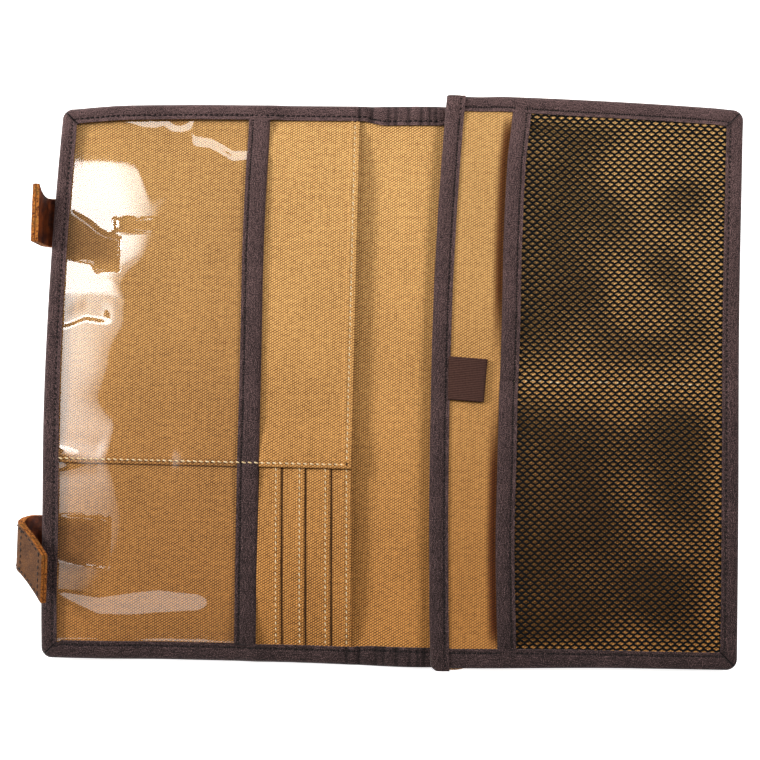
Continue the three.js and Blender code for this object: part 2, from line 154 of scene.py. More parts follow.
def grid_piece(name, columns, rows, place):
    """A grid primitive whose points go where place says, given their shares across and along it.
    place returns the points and their place on the flat cloth, which is kept as the UV map."""
    bpy.ops.object.select_all(action="DESELECT")
    bpy.ops.mesh.primitive_grid_add(x_subdivisions=columns, y_subdivisions=rows, size=1)
    piece = bpy.context.object
    piece.name = name
    mesh = piece.data
    mesh.name = name
    flat = np.empty(3 * len(mesh.vertices))
    mesh.vertices.foreach_get("co", flat)
    points, cloth = place(flat[0::3] + 0.5, flat[1::3] + 0.5)
    mesh.vertices.foreach_set("co", (np.stack(points, 1) * MM).ravel())
    corner_of = np.empty(len(mesh.loops), int)
    mesh.loops.foreach_get("vertex_index", corner_of)
    cloth_map = mesh.uv_layers.active
    cloth_map.name = "cloth"
    cloth_map.data.foreach_set("uv", (np.stack(cloth, 1) * MM)[corner_of].ravel())
    mesh.update()
    return piece


def give_wall(piece, wall, sharp=40):
    """Gives a sheet its thickness, below its face, and smooth shading apart from its cut edges."""
    bpy.context.view_layer.objects.active = piece
    solid = piece.modifiers.new("wall", "SOLIDIFY")
    solid.thickness = wall * MM
    solid.offset = -1
    bpy.ops.object.modifier_apply(modifier=solid.name)
    bpy.ops.object.shade_smooth_by_angle(angle=math.radians(sharp))
    return piece


def sheet_place(left, right, foot, head, top, spread_x=EVEN_CELLS, spread_y=EVEN_CELLS, round_by=0):
    """Places a sheet between four edges, with its upper face at the height that top gives.
    spread_x and spread_y say which share of the cells goes to which share of the width or height."""
    def place(across, along):
        share_x = np.interp(across, *spread_x)
        share_y = np.interp(along, *spread_y)
        rough_x = left(0 * along) + share_x * (right(0 * along) - left(0 * along))
        y = foot(rough_x) + share_y * (head(rough_x) - foot(rough_x))
        x = left(y) + share_x * (right(y) - left(y))
        if round_by:
            x, y = rounded(x, y, (left(y), right(y), foot(x), head(x)), round_by)
        return (x, y, top(x, y)), (x, y)
    return place


class Socket:
    """A shader value: sums on it add Math nodes, and node() adds any other node to the same material."""

    def __init__(self, tree, output=None):
        self.tree = tree
        self.output = output

    def node(self, kind, settings=(), sockets=(), output=0):
        added = self.tree.nodes.new(kind)
        for name, value in dict(settings).items():
            setattr(added, name, value)
        for name, value in dict(sockets).items():
            if isinstance(value, Socket):
                self.tree.links.new(value.output, added.inputs[name])
            else:
                added.inputs[name].default_value = value
        return Socket(self.tree, added.outputs[output])

    def math(self, operation, *others, swap=False):
        values = [*others, self] if swap else [self, *others]
        return self.node("ShaderNodeMath", {"operation": operation}, enumerate(values))

    def __add__(self, other):
        return self.math("ADD", other)

    __radd__ = __add__

    def __sub__(self, other):
        return self.math("SUBTRACT", other)

    def __rsub__(self, other):
        return self.math("SUBTRACT", other, swap=True)

    def __mul__(self, other):
        return self.math("MULTIPLY", other)

    __rmul__ = __mul__

    def __truediv__(self, other):
        return self.math("DIVIDE", other)

    def between(self, low, high):
        """0 below low, 1 above high, eased between."""
        settings = {"interpolation_type": "SMOOTHSTEP"}
        return self.node("ShaderNodeMapRange", settings, {"Value": self, "From Min": low, "From Max": high})

    def blend(self, first, second, mode="MIX"):
        """The colour first where this value is 0, and second, mixed in by mode, where it is 1."""
        settings = {"data_type": "RGBA", "blend_type": mode}
        return self.node("ShaderNodeMix", settings, {0: self, 6: first, 7: second}, output=2)

    def noise(self, where, scale, detail=2.0, roughness=0.5):
        sockets = {"Vector": where, "Scale": scale, "Detail": detail, "Roughness": roughness}
        return self.node("ShaderNodeTexNoise", (), sockets)

    def stretched(self, where, scale):
        """The place where, with its axes drawn out by scale."""
        return self.node("ShaderNodeMapping", (), {"Vector": where, "Scale": scale})

    def place(self):
        """Where the shaded point is on its piece."""
        return self.node("ShaderNodeTexCoord", (), (), output=3)

    def cloth(self):
        """Where the shaded point is on the flat cloth."""
        return self.node("ShaderNodeUVMap", {"uv_map": "cloth"})

    def split(self, where):
        """The x and y of a place."""
        parts = self.node("ShaderNodeSeparateXYZ", (), {0: where})
        return parts, Socket(self.tree, parts.output.node.outputs[1])


def colour(red, green, blue):
    """A display colour from 0 to 255, as the linear colour that shaders take."""
    shares = [value / 255 for value in (red, green, blue)]
    return (*[s / 12.92 if s <= 0.04045 else ((s + 0.055) / 1.055) ** 2.4 for s in shares], 1.0)


def new_finish(name):
    """An empty material, and the socket that its nodes start from."""
    material = bpy.data.materials.new(name)
    material.use_nodes = True
    material.node_tree.nodes.clear()
    return material, Socket(material.node_tree)


def show(start, surface):
    output = start.tree.nodes.new("ShaderNodeOutputMaterial")
    start.tree.links.new(surface.output, output.inputs["Surface"])


def show_skin(start, base, roughness, shine, height=None, bump=(), more=()):
    """Ends a material with a skin of the colour base. bump = strength and depth of the relief in height."""
    sockets = {"Base Color": base, "Roughness": roughness, "Specular IOR Level": shine, **dict(more)}
    if height is not None:
        relief = {"Strength": bump[0], "Distance": bump[1] * MM, "Height": height}
        sockets["Normal"] = start.node("ShaderNodeBump", (), relief)
    show(start, start.node("ShaderNodeBsdfPrincipled", (), sockets))


WEAVE_ACROSS = 2.37 * MM
WEAVE_ALONG = 1.47 * MM
CANVAS_LIGHT = colour(250, 198, 124)
CANVAS_DARK = colour(100, 53, 13)
# Painted shade: the canvas colours at the foot, darker than at the head.
SHADED_FOOT_LIGHT = colour(219, 152, 79)
SHADED_FOOT_DARK = colour(52, 21, 2)
LINE_MIDDLE = -95
STITCH_PITCH = 3.3


def needle_holes(across, run, pitch):
    """Dark dots where the needle went in, along the line where across is 0."""
    near = 1 - across.math("ABSOLUTE").between(0.3 * MM, 0.7 * MM)
    turn = (run * (math.tau / (pitch * MM))).math("COSINE")
    return near * turn.between(0.35, 0.9)


def toward_head(start):
    """-1 at the foot of the case and 1 at its head."""
    along = start.split(start.place())[1]
    return along / (EDGE_LENGTH * MM)


def canvas_finish(name, upright=(), level=(), shaded=(), lap=None, painted_shade_shift=0.0):
    """Waxed canvas: staggered bright yarns on darker gaps, slubs, and painted shade that makes it darker and
    deeper orange toward the foot.
    upright is the x and lean, and level the y, of stitch lines, whose needle holes show as dark dots.
    shaded is the x and lean of edges that lie on the canvas, with a painted shadow beside them; lap is the y
    of one, with a painted shadow just below it.
    The last argument darkens the whole cloth as painted shade, or lightens it as painted light when below 0,
    and a point attribute paints shade on parts of it."""
    material, start = new_finish(name)
    cloth = start.cloth()
    x, y = start.split(cloth)
    drift = start.noise(cloth, 260, 2) * (0.7 * MM)
    warp = (x + drift) * (math.tau / WEAVE_ACROSS)
    weft = (y + drift) * (math.tau / WEAVE_ALONG)
    twill = (warp - weft).math("COSINE") * 0.25 + (warp + weft).math("COSINE") * 0.14
    weave = twill + (warp * 2).math("COSINE") * 0.14 + 0.5
    slub_x = start.noise(start.stretched(cloth, (40, 900, 1)), 1, 1)
    slub_y = start.noise(start.stretched(cloth, (900, 40, 1)), 1, 1)
    cloud = start.noise(cloth, 16, 3)
    speck = start.noise(cloth, 420, 2)
    tone = weave + (slub_x + slub_y) * 0.15 + cloud * 0.2 + speck * 0.4 - 0.45 - painted_shade_shift

    def past_line(at, lean):
        return (y - LINE_MIDDLE * MM) * lean + x - at * MM

    lines = [(past_line(*line), y) for line in upright] + [(y - at * MM, x) for at in level]
    dark = [needle_holes(across, run, STITCH_PITCH) for across, run in lines]
    # Painted shadows: a dark strip just below the lap's edge and beside each shaded edge, darkened along with
    # the needle holes.
    if lap is not None:
        past = lap * MM - y
        dark.append(past.between(-0.2 * MM, 0) * (1 - past.between(0.2 * MM, 0.9 * MM)) * 0.5)
    for line in shaded:
        past = past_line(*line)
        dark.append(past.between(-0.3 * MM, 0) * (1 - past.between(0.5 * MM, 1.6 * MM)) * 0.85)
    # Painted shade: the canvas colours darken from head to foot, as the light falls off toward the foot.
    head_share = toward_head(start) * 0.5 + 0.5
    base_dark = head_share.between(0, 1).blend(SHADED_FOOT_DARK, CANVAS_DARK)
    base_light = head_share.between(0, 1).blend(SHADED_FOOT_LIGHT, CANVAS_LIGHT)
    base = tone.between(0, 1).blend(base_dark, base_light)
    if dark:
        base = sum(dark).between(0, 1).blend(base, colour(50, 28, 12))
    # Painted shade from a point attribute, multiplied into the colour.
    painted_shade = start.node("ShaderNodeAttribute", {"attribute_name": "painted_shade"}, (), output=2)
    shaded_base = painted_shade.blend(base, colour(120, 92, 70), "MULTIPLY")
    show_skin(start, shaded_base, roughness=0.86, shine=0.25, height=weave + speck * 0.5, bump=(0.5, 0.35))
    return material


def keep_on_points(piece, name, amount):
    """Keeps a value on each point of a piece, given its x and y, for the material to read."""
    points = np.empty(3 * len(piece.data.vertices))
    piece.data.vertices.foreach_get("co", points)
    values = piece.data.attributes.new(name, "FLOAT", "POINT")
    values.data.foreach_set("value", amount(points[0::3] / MM, points[1::3] / MM))


def finished(piece, material, node=None):
    """Gives a piece its material and its place on the body, and hides the imported part of the node it stands
    for.
    """
    piece.data.materials.clear()
    piece.data.materials.append(material)
    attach(piece, "root")
    if node:
        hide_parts(node)
    return piece


def sheet_piece(name, node, cells, place, material, wall=CANVAS, painted_shade=None):
    """A sheet of so many cells across and along, with its wall and its finish, that stands for a node."""
    piece = grid_piece(name, *cells, place)
    # The point attribute holds painted shade for the sheet's material.
    if painted_shade:
        keep_on_points(piece, "painted_shade", painted_shade)
    give_wall(piece, wall)
    return finished(piece, material, node)


plain_canvas = canvas_finish("waxed_canvas")
shell_place = sheet_place(
    sewn_left,
    lambda y: COVER_RIGHT - HIDDEN_INSET + 0 * y,
    sewn_foot,
    sewn_head,
    lambda x, y: shell_top(x) + cover_wave(x, y),
    round_by=CORNER_ROUND,
)
shell = sheet_piece("shell_canvas", "outer_shell", (170, 140), shell_place, plain_canvas, SHELL)


# Card backing and document pocket
# Two canvas panels make the pocket of the left cover. The lower one carries the card slots.
# The upper one laps over it at a sewn seam, and both have a turned hem along the spine.
PANEL_EDGE = -13.8
CARD_EDGE = -12.8
CARD_LEAN = 0.0236
HEM_WIDTH = 5.5
HEM_RISE = 0.8
HEM_STITCH = 2.8
SEAM_Y = -49
SEAM_LAP = 4.5
SEAM_STITCH_Y = SEAM_Y + 2.3
FOLD_ROUND = 0.9
EDGE_CELLS = 0.3
EDGE_BAND = 8
POCKET_GAPE = 5.2
SEAM_STEPS = {
    "x": (-68, -63.5, -50, -46, -38, -34, -24, -20),
    "rise": (1.3, 3.7, 3.7, 3.0, 3.0, 2.3, 2.3, 1.9),
}


def pocket_gape(x, y):
    return POCKET_GAPE * cover_free(x, y) * smooth(x, -170, -90)


def panel_under(x, y):
    return shell_top(x) + CLEAR + pocket_gape(x, y) + cover_wave(x, y)


def turned_edge(gap, rise, width=HEM_WIDTH):
    """Height added by a turned hem, at a gap from its folded edge: a step up, a stitch line, a round fold."""
    step = rise * (1 - smooth(gap, width - 0.9, width))
    groove = 0.3 * bump_at(gap, HEM_STITCH, 0.7)
    inside = np.clip(1 - gap / FOLD_ROUND, 0, 1)
    return step - groove - FOLD_ROUND * (1 - np.sqrt(1 - inside ** 2))


def card_edge(y):
    return CARD_EDGE - CARD_LEAN * (y - LINE_MIDDLE)


def card_top(x, y):
    return panel_under(x, y) + CANVAS + turned_edge(card_edge(y) - x, HEM_RISE)


def document_under(x, y):
    step = np.interp(x, SEAM_STEPS["x"], SEAM_STEPS["rise"])
    return panel_under(x, y) + step * (1 - smooth(y, SEAM_Y + SEAM_LAP + CLEAR, -20))


def document_top(x, y):
    hem = turned_edge(PANEL_EDGE - x, HEM_RISE) + turned_edge(y - SEAM_Y, 0.5)
    return document_under(x, y) + CANVAS + hem


def edge_band(length, low=False, high=False):
    """Shares of cells and of length that crowd the cells into a band along one end or both."""
    band = EDGE_BAND / length
    cells = [0, *([EDGE_CELLS] if low else []), *([1 - EDGE_CELLS] if high else []), 1]
    shares = [0, *([band] if low else []), *([1 - band] if high else []), 1]
    return cells, shares


# Painted shadow where the standing straps shade the canvas over their sewn ends.
STRAP_SHADOWS = [{"foot": 60, "head": 90, "right": -142}, {"foot": -106, "head": -80, "right": -146}]
STRAP_SHADOW_EDGE = 5
STRAP_SHADOW_DEPTH = 0.55


def strap_shadow(x, y):
    """Painted shadow: darker canvas over the strap ends that are sewn beneath it, where the standing straps
    shade it.
    """
    total = 0
    for shadow in STRAP_SHADOWS:
        across = 1 - smooth(x, shadow["right"] - 14, shadow["right"] + 8)
        past_foot = smooth(y, shadow["foot"] - STRAP_SHADOW_EDGE, shadow["foot"] + STRAP_SHADOW_EDGE)
        past_head = smooth(y, shadow["head"] - STRAP_SHADOW_EDGE, shadow["head"] + STRAP_SHADOW_EDGE)
        total = total + STRAP_SHADOW_DEPTH * across * past_foot * (1 - past_head)
    return total


SLOT_EDGES = {"card_slot_3": -24.2, "card_slot_2": -38.1, "card_slot_1": -50.8}
card_canvas = canvas_finish(
    "card_backing_canvas",
    upright=[(CARD_EDGE - HEM_STITCH, CARD_LEAN)],
    shaded=[(SLOT_EDGES["card_slot_3"], CARD_LEAN)],
    lap=SEAM_Y - 0.2,
)
card_place = sheet_place(
    sewn_left,
    card_edge,
    sewn_foot,
    lambda x: SEAM_Y + SEAM_LAP + 0 * x,
    card_top,
    spread_x=edge_band(169, high=True),
)
card_backing = sheet_piece(
    "card_backing", "card_panel", (110, 70), card_place, card_canvas, painted_shade=strap_shadow
)

document_canvas = canvas_finish(
    "document_pocket_canvas", upright=[(PANEL_EDGE - HEM_STITCH, 0)], level=[SEAM_STITCH_Y]
)
document_place = sheet_place(
    sewn_left,
    lambda y: PANEL_EDGE + 0 * y,
    lambda x: SEAM_Y + 0 * x,
    sewn_head,
    document_top,
    spread_x=edge_band(170, high=True),
    spread_y=edge_band(198, low=True),
)
document_pocket = sheet_piece(
    "document_pocket", "document_panel", (110, 120), document_place, document_canvas, painted_shade=strap_shadow
)


# Card slots
# Three canvas strips lie one on another over the lower panel, the one beside the window on top.
# Each has a turned and stitched hem along its open right edge.
CARD_LEFT = -63.6
SLOT_WALL = 0.6
CARD_LAYER = SLOT_WALL + 0.1


def slot_edge_at(edge):
    def right(y):
        return edge - CARD_LEAN * (y - LINE_MIDDLE)
    return right


def slot_top(edge, layer):
    right = slot_edge_at(edge)

    def top(x, y):
        return panel_under(x, y) + CANVAS + (layer + 1) * CARD_LAYER + turned_edge(right(y) - x, 0.45, 4.5)
    return top


slot_edges = [*SLOT_EDGES.values()]
for layer, (slot_node, slot_edge) in enumerate(SLOT_EDGES.items()):
    slot_place = sheet_place(
        lambda y: CARD_LEFT + 0 * y,
        slot_edge_at(slot_edge),
        lambda x: sewn_foot(x) + 0.6,
        lambda x: SEAM_Y + 2 + 0 * x,
        slot_top(slot_edge, layer),
        spread_x=edge_band(slot_edge - CARD_LEFT, high=True),
    )
    slot_canvas = canvas_finish(
        slot_node + "_canvas",
        upright=[(slot_edge - HEM_STITCH, CARD_LEAN)],
        shaded=[(edge, CARD_LEAN) for edge in slot_edges[layer + 1:layer + 2]],
        lap=SEAM_Y,
    )
    slot_name = slot_node.replace("card_slot", "card_pocket")
    card_slot = sheet_piece(slot_name, slot_node, (50, 60), slot_place, slot_canvas, SLOT_WALL)


# Clear window
# A sheet of clear vinyl covers the left half of the left cover. It is bound at its edges and sewn down
# along the seam. It leans up from its left edge, lies flat over the strap ends, and levels out to the right.
VINYL = 0.5
WINDOW_EDGE = -63
STAND_OFF = 1.6
FILM_LEVEL = 9.6
FILM_SLOPE = 0.085
FILM_ROUND = 8
FILM_START = -173
# Where the vinyl stops leaning up, by y.
FILM_ENDS = {
    "y": (
        -130, -116, -109, -102, -95, -74, -64, -58, -52, -46, -41, -33, -26, -15, -6, 3,
        11, 19, 27, 33, 40, 48, 55, 61, 68, 76, 85, 95, 105, 112, 118, 126,
    ),
    "x": (
        -147, -145, -143, -140, -137, -135, -135, -138, -146, -153, -146, -137, -146, -156, -153, -149,
        -148, -145, -140, -141, -139, -143, -138, -131, -125, -122, -120, -118, -121, -126, -134, -150,
    ),
}
# How widely the vinyl rounds off under the binding at its head, by x.
HEAD_ROUND = {
    "x": (-146, -138, -133, -128, -124, -121, -118, -113, -108, -106, -64),
    "round": (7, 8.5, 8.5, 11, 14, 17, 13, 10.5, 13, 17, 17),
}
# Folds in the vinyl: at the head beside the window tape, along the foot, and two at the left edge.
CORNER_FOLD = {"x": (-105, -95.5, -89, -83, -77), "y": (129, 128, 124.5, 120.5, 121)}
FOOT_FOLD = {
    "x": (-172, -148, -129, -117, -95, -88),
    "y": (-118.4, -125.4, -123.8, -122.2, -122.2, -122),
    "half": (1.8, 6.0, 7.5, 7.3, 5.5, 3.0),
    "drop": (0.14, 1.1, 1.25, 1.2, 0.9, 0.0),
}
FILM_CREASES = [
    {"x": (-172, -146), "y": (45.5, 47.5), "half": 3, "drop": 0.06, "back": (5, 24)},
    {"x": (-170, -160, -146), "y": (25, 29.2, 27.2), "half": 1.8, "drop": 0.34, "back": (3, 13)},
]
# Where the vinyl lies flat over the strap ends, and a level band beside the upper one.
STRAP_PATCHES = [
    {
        "x": (-170, -160, -157, -154, -150, -143), "right": -143,
        "low": (61.8, 60.2, 59.7, 55, 55, 56), "high": (87.8, 81.8, 79.5, 77, 75, 73.4),
    },
    {
        "x": (-170, -158, -144), "right": -143.8,
        "low": (-101.5, -103, -105), "high": (-77.5, -77.5, -78.5),
    },
]
PATCH_EDGE = 0.7
FLAT_BAND = {"x": (-147, -143.5), "y": (76.8, 83.6)}


def window_edge(y):
    return WINDOW_EDGE - 1.0 * (1 - (y / EDGE_LENGTH) ** 2) - 0.7 * bump_at(y, 70, 45)


def eased_row(at, places, values, reach):
    """A table read with its corners rounded over reach."""
    shifts = np.linspace(-reach, reach, 9)
    return sum(np.interp(at + shift, places, values) for shift in shifts) / len(shifts)


def ramp(past, reach):
    """The amount by which past is above 0, with its corner rounded over reach."""
    return (past + np.sqrt(past * past + reach * reach)) / 2


def between_lines(at, low, high):
    """1 between low and high, 0 outside them."""
    past_low, past_high = (smooth(at, line - PATCH_EDGE, line + PATCH_EDGE) for line in (low, high))
    return past_low * (1 - past_high)


def window_rise(x, y):
    """How far the vinyl stands above its left edge."""
    end = eased_row(y, FILM_ENDS["y"], FILM_ENDS["x"], 3) + 1.3
    slope = FILM_SLOPE * (1 - 0.35 * (1 - smooth(y, -130, -70)))
    rise = slope * (ramp(x - FILM_START, 2) - ramp(x - end, FILM_ROUND))
    flat = smooth(x, *FLAT_BAND["x"]) * between_lines(y, *FLAT_BAND["y"])
    rise = rise + flat * (slope * (end - FILM_START) - rise)
    for patch in STRAP_PATCHES:
        low = np.interp(x, patch["x"], patch["low"])
        high = np.interp(x, patch["x"], patch["high"])
        within = 1 - smooth(x, patch["right"] - PATCH_EDGE, patch["right"] + PATCH_EDGE)
        rise = rise * (1 - between_lines(y, low, high) * within)
    level = smooth(x, end + 8, -66)
    return rise * (1 - level) + 0.8 * level


def window_under(x, y):
    sewn_edge = shell_top(x) + CLEAR + CANVAS + STAND_OFF
    head_gap = np.maximum(cover_head(x) - 8.4 - y, 0)
    foot_gap = np.maximum(y - cover_foot(x) - 9.6, 0)
    round_off = eased_row(x, HEAD_ROUND["x"], HEAD_ROUND["round"], 2)
    late = smooth(x, -137, -124)
    settled = smooth(head_gap, 12 + 18 * late, 24 + 28 * late)
    from_head = 1 - np.exp(-head_gap / round_off) * (1 - settled)
    from_foot = 1 - 0.7 * np.exp(-foot_gap / 0.15) - 0.3 * np.exp(-foot_gap / 30)
    free = from_head * from_foot
    film = sewn_edge + free * (FILM_LEVEL + window_rise(x, y) - sewn_edge)
    fold = np.interp(x, CORNER_FOLD["x"], CORNER_FOLD["y"]) - y
    film = film - 2.6 * (1 - smooth(fold, -5, 5)) * smooth(x, -107, -103) * free
    middle, half, drop = (np.interp(x, FOOT_FOLD["x"], FOOT_FOLD[key]) for key in ("y", "half", "drop"))
    film = film - drop * (1 - smooth(y, middle - half, middle + half))
    for crease in FILM_CREASES:
        past = y - np.interp(x, crease["x"], crease["y"])
        within = 1 - smooth(x, crease["x"][-1] - 6, crease["x"][-1] + 2)
        dip = crease["drop"] * smooth(past, -crease["half"], crease["half"])
        film = film - dip * (1 - smooth(past, *crease["back"])) * within
    seam = panel_under(x, y) + CANVAS + 2.9 + 0.5 * smooth(x, -145, -68)
    at_seam = bump_at(y, SEAM_STITCH_Y, 5 + 13 * smooth(x, -152, -136))
    wave = ripple(x, y, seed=11, height=0.04, shortest=22, longest=55) * cover_free(x, y, 20)
    return film + at_seam * (seam - film) + wave


def window_over(x, y):
    return window_under(x, y) + VINYL


window_finish, start = new_finish("clear_vinyl")
facing = start.node("ShaderNodeLayerWeight", (), {"Blend": 0.5}, output=1)
inner_face = start.node("ShaderNodeNewGeometry", (), (), output=6)
mirror_share = (facing.math("POWER", 5.0) * 0.9 + 0.1) * (1 - inner_face)
film_tint = start.node("ShaderNodeBsdfTransparent", (), {"Color": (0.99, 0.985, 0.975, 1)})
film_gloss = start.node("ShaderNodeBsdfGlossy", (), {"Color": (1, 1, 1, 1), "Roughness": 0.06})
show(start, start.node("ShaderNodeMixShader", (), {0: mirror_share, 1: film_tint, 2: film_gloss}))
window_place = sheet_place(
    sewn_left, lambda y: window_edge(y) - EDGE_INSET, sewn_foot, sewn_head, window_over
)
window_film = sheet_piece(
    "window_film", "clear_window", (112, 320), window_place, window_finish, VINYL
)


# Edge tapes
# Dark brown woven tape is folded round every raw edge and sewn through with one row of dark thread.
# The tape round the shell runs in a closed loop with mitred corners, and puckers over the spine.
TAPE_ROUND = 2.3
STITCH_INSET = 2.3
LEG_STEPS = (0, 0.5, 1.2, 1.8, 2.3, 2.8, 3.4, 4.4, 5.4)
ARC_STEPS = 8
UNDER_STEPS = (0.35, 0.7, 1.0)
TAPE_PITCH = 2.8
MITRE_REACH = 12
SPINE_CREASES = (-14.1, -7.6, 1.7, 5.5, 12.6, 19.7, 24.0, 27.3)


def tape_relief(across, run, width):
    """Height of the tape's upper face over its even level: a stitch groove and a padded roll beside it."""
    groove = 0.34 * bump_at(across, STITCH_INSET, 0.6)
    pucker = 0.10 * np.sin(math.tau * run / (2 * TAPE_PITCH)) * bump_at(across, STITCH_INSET + 1.2, 1.4)
    roll = 0.35 * np.sin(math.pi * np.clip((across - 2.6) / (width - 3.2), 0, 1))
    uneven = ripple(run, across, seed=29, height=0.22, shortest=6, longest=17)
    return roll - groove + pucker + uneven


def mend(weld=0, flip=False, outward=False):
    """Joins points of the active piece that are within weld, and turns its faces over or all outward."""
    bpy.ops.object.mode_set(mode="EDIT")
    bpy.ops.mesh.select_all(action="SELECT")
    if weld:
        bpy.ops.mesh.remove_doubles(threshold=weld * MM)
    if flip:
        bpy.ops.mesh.flip_normals()
    if outward:
        bpy.ops.mesh.normals_make_consistent(inside=False)
    bpy.ops.object.mode_set(mode="OBJECT")


def tape_piece(name, node, path, over, under, weld=0, relief=None, creases=None):
    """Tape folded round an edge. path = fold and leg points along it, their width, and the run so far.
    weld joins the ends of a closed loop, relief adds to the upper face, and creases gives the painted shade
    of its creases and mitre slits."""
    fold, leg, width, run = path["fold"], path["leg"], path["width"], path["run"]
    angles = np.linspace(math.pi / 2, -math.pi / 2, ARC_STEPS + 1)[1:]
    columns = len(LEG_STEPS) + 1 + ARC_STEPS + len(UNDER_STEPS)

    def place(across_share, along_share):
        row = np.rint(along_share * (len(run) - 1)).astype(int)
        column = np.rint(across_share * (columns - 1)).astype(int)
        wide = width[row]
        legs = len(LEG_STEPS)
        inset = np.zeros(len(row))
        lean = np.ones(len(row))
        across = np.zeros(len(row))
        for k in range(columns):
            here = column == k
            if k < legs:
                across[here] = LEG_STEPS[k]
                inset[here] = wide[here] - LEG_STEPS[k]
            elif k <= legs + ARC_STEPS:
                turn = math.pi / 2 if k == legs else angles[k - legs - 1]
                inset[here] = TAPE_ROUND * (1 - math.cos(turn))
                lean[here] = math.sin(turn)
                across[here] = wide[here] - TAPE_ROUND + TAPE_ROUND * (math.pi / 2 - turn)
            else:
                share = UNDER_STEPS[k - legs - ARC_STEPS - 1]
                inset[here] = TAPE_ROUND + share * (wide[here] - TAPE_ROUND)
                lean[here] = -1
                across[here] = wide[here] + TAPE_ROUND * 2 + share * (wide[here] - TAPE_ROUND)
        share = (inset / wide)[:, None]
        at = fold[row] * (1 - share) + leg[row] * share
        x, y = at[:, 0], at[:, 1]
        top = over(x, y) + CLEAR + TAPE
        bottom = under(x, y) - CLEAR - TAPE
        z = (top + bottom) / 2 + lean * (top - bottom) / 2
        raised = tape_relief(across, run[row], wide)
        if relief:
            raised = raised + relief(run[row], x, y)
        z = z + np.maximum(lean, 0) * raised
        return (x, y, z), (run[row], across)

    piece = grid_piece(name, columns - 1, len(run) - 1, place)
    if creases:
        keep_on_points(piece, "crease", creases)
    highest = max(piece.data.polygons, key=lambda face: face.center.z)
    mend(weld, flip=highest.normal.z < 0)
    give_wall(piece, TAPE)
    return finished(piece, tape_skin, node)


def tape_path(fold, leg, width):
    """Arrays for tape_piece from lists of fold and leg points and the width of the leg at each."""
    fold = np.array(fold, float)
    steps = np.hypot(*np.diff(fold, axis=0).T)
    run = np.concatenate([[0], np.cumsum(steps)])
    return {"fold": fold, "leg": np.array(leg, float), "width": np.array(width, float), "run": run}


TAPE_LIGHT = colour(132, 103, 101)
TAPE_DARK = colour(26, 18, 18)


def tape_finish(name):
    """Woven cotton tape: fine cross ribs and specks, a painted highlight along its edge, painted light that
    pales it toward the head, painted shade in its creases and mitre slits, and dark needle holes.
    """
    material, start = new_finish(name)
    cloth = start.cloth()
    run, across = start.split(cloth)
    ribs = (run * (math.tau / (0.85 * MM))).math("SINE") * (across * (math.tau / (1.1 * MM))).math("SINE")
    speck = start.noise(cloth, 1700, 2, 0.6)
    cloud = start.noise(cloth, 60, 3)
    fuzz = start.noise(start.stretched(cloth, (260, 1300, 1)), 1, 2)
    # Painted highlight: a paler band along the leg's inner edge.
    edge_highlight = 1 - across.between(0, 1.6 * MM)
    # Painted light: the tape is paler toward the head of the case.
    head_light_share = toward_head(start)
    tone = speck * 2.2 + ribs * 0.16 + cloud * 0.3 + fuzz * 0.7 + edge_highlight * 0.06 - 1.32 + head_light_share * 0.12
    holes = needle_holes(across - STITCH_INSET * MM, run, TAPE_PITCH)
    base = tone.between(0, 1).blend(TAPE_DARK, TAPE_LIGHT)
    # Painted shade in creases and mitre slits, read from a point attribute.
    crease_shade = start.node("ShaderNodeAttribute", {"attribute_name": "crease"}, (), output=2)
    base = (holes + crease_shade).between(0, 1).blend(base, colour(12, 8, 8))
    height = ribs * 0.5 + speck + fuzz * 0.6 - holes * 1.5
    sheen = {"Sheen Weight": 0.25, "Sheen Roughness": 0.4, "Sheen Tint": (0.75, 0.6, 0.6, 1)}
    show_skin(start, base, roughness=0.88, shine=0.2, height=height, bump=(0.6, 0.25), more=sheen)
    return material


tape_skin = tape_finish("brown_tape")


def mouth_path(edge, inward, foot, head, width, step=1.3):
    """Run of tape along a free edge, from its foot end to its head end. inward = the way to the cloth."""
    ys = np.linspace(foot, head, int((head - foot) / step))
    fold = [(edge(y), y) for y in ys]
    leg = [(edge(y) + inward * width, y) for y in ys]
    return tape_path(fold, leg, [width] * len(ys))


window_ends = cover_foot(WINDOW_EDGE) + 6, cover_head(WINDOW_EDGE) - 6
window_path = mouth_path(window_edge, -1, *window_ends, width=11.6)
window_tape = tape_piece("window_binding", "window_tape", window_path, window_over, window_under)


def corner_points(corner_x, corner_y, towards_x, towards_y, starts_on_x, width, steps=14):
    """Quarter turn of a border: rounded outside, nearly square inside."""
    fold, leg = [], []
    for k in range(steps + 1):
        share = k / steps
        turn = math.pi / 2 * (share if starts_on_x else 1 - share)
        for points, inset, radius in ((fold, 0, CORNER_ROUND), (leg, width, 0.8)):
            points.append((
                corner_x - towards_x * (inset + radius * (1 - math.cos(turn))),
                corner_y - towards_y * (inset + radius * (1 - math.sin(turn))),
            ))
    return fold, leg


def join_border(runs):
    """One path from runs of fold points, leg points and widths. Also where each corner's diagonal lies."""
    fold, leg, width, corners = [], [], [], []
    for points, legs, wide, is_corner in runs:
        if is_corner:
            corners.append(len(fold) + len(points) // 2)
        fold += points
        leg += legs
        width += [wide] * len(points) if np.isscalar(wide) else list(wide)
    path = tape_path(fold, leg, width)
    path["corners"] = [path["run"][k] for k in corners]
    return path


def side_run(points, inward, widths):
    """A straight side of a border: its fold points, its leg points, their widths."""
    legs = [(x + inward[0] * w, y + inward[1] * w) for (x, y), w in zip(points, widths)]
    return points, legs, widths, False


def steps_between(start, end, step=1.6):
    return np.linspace(start, end, int(abs(end - start) / step) + 1)


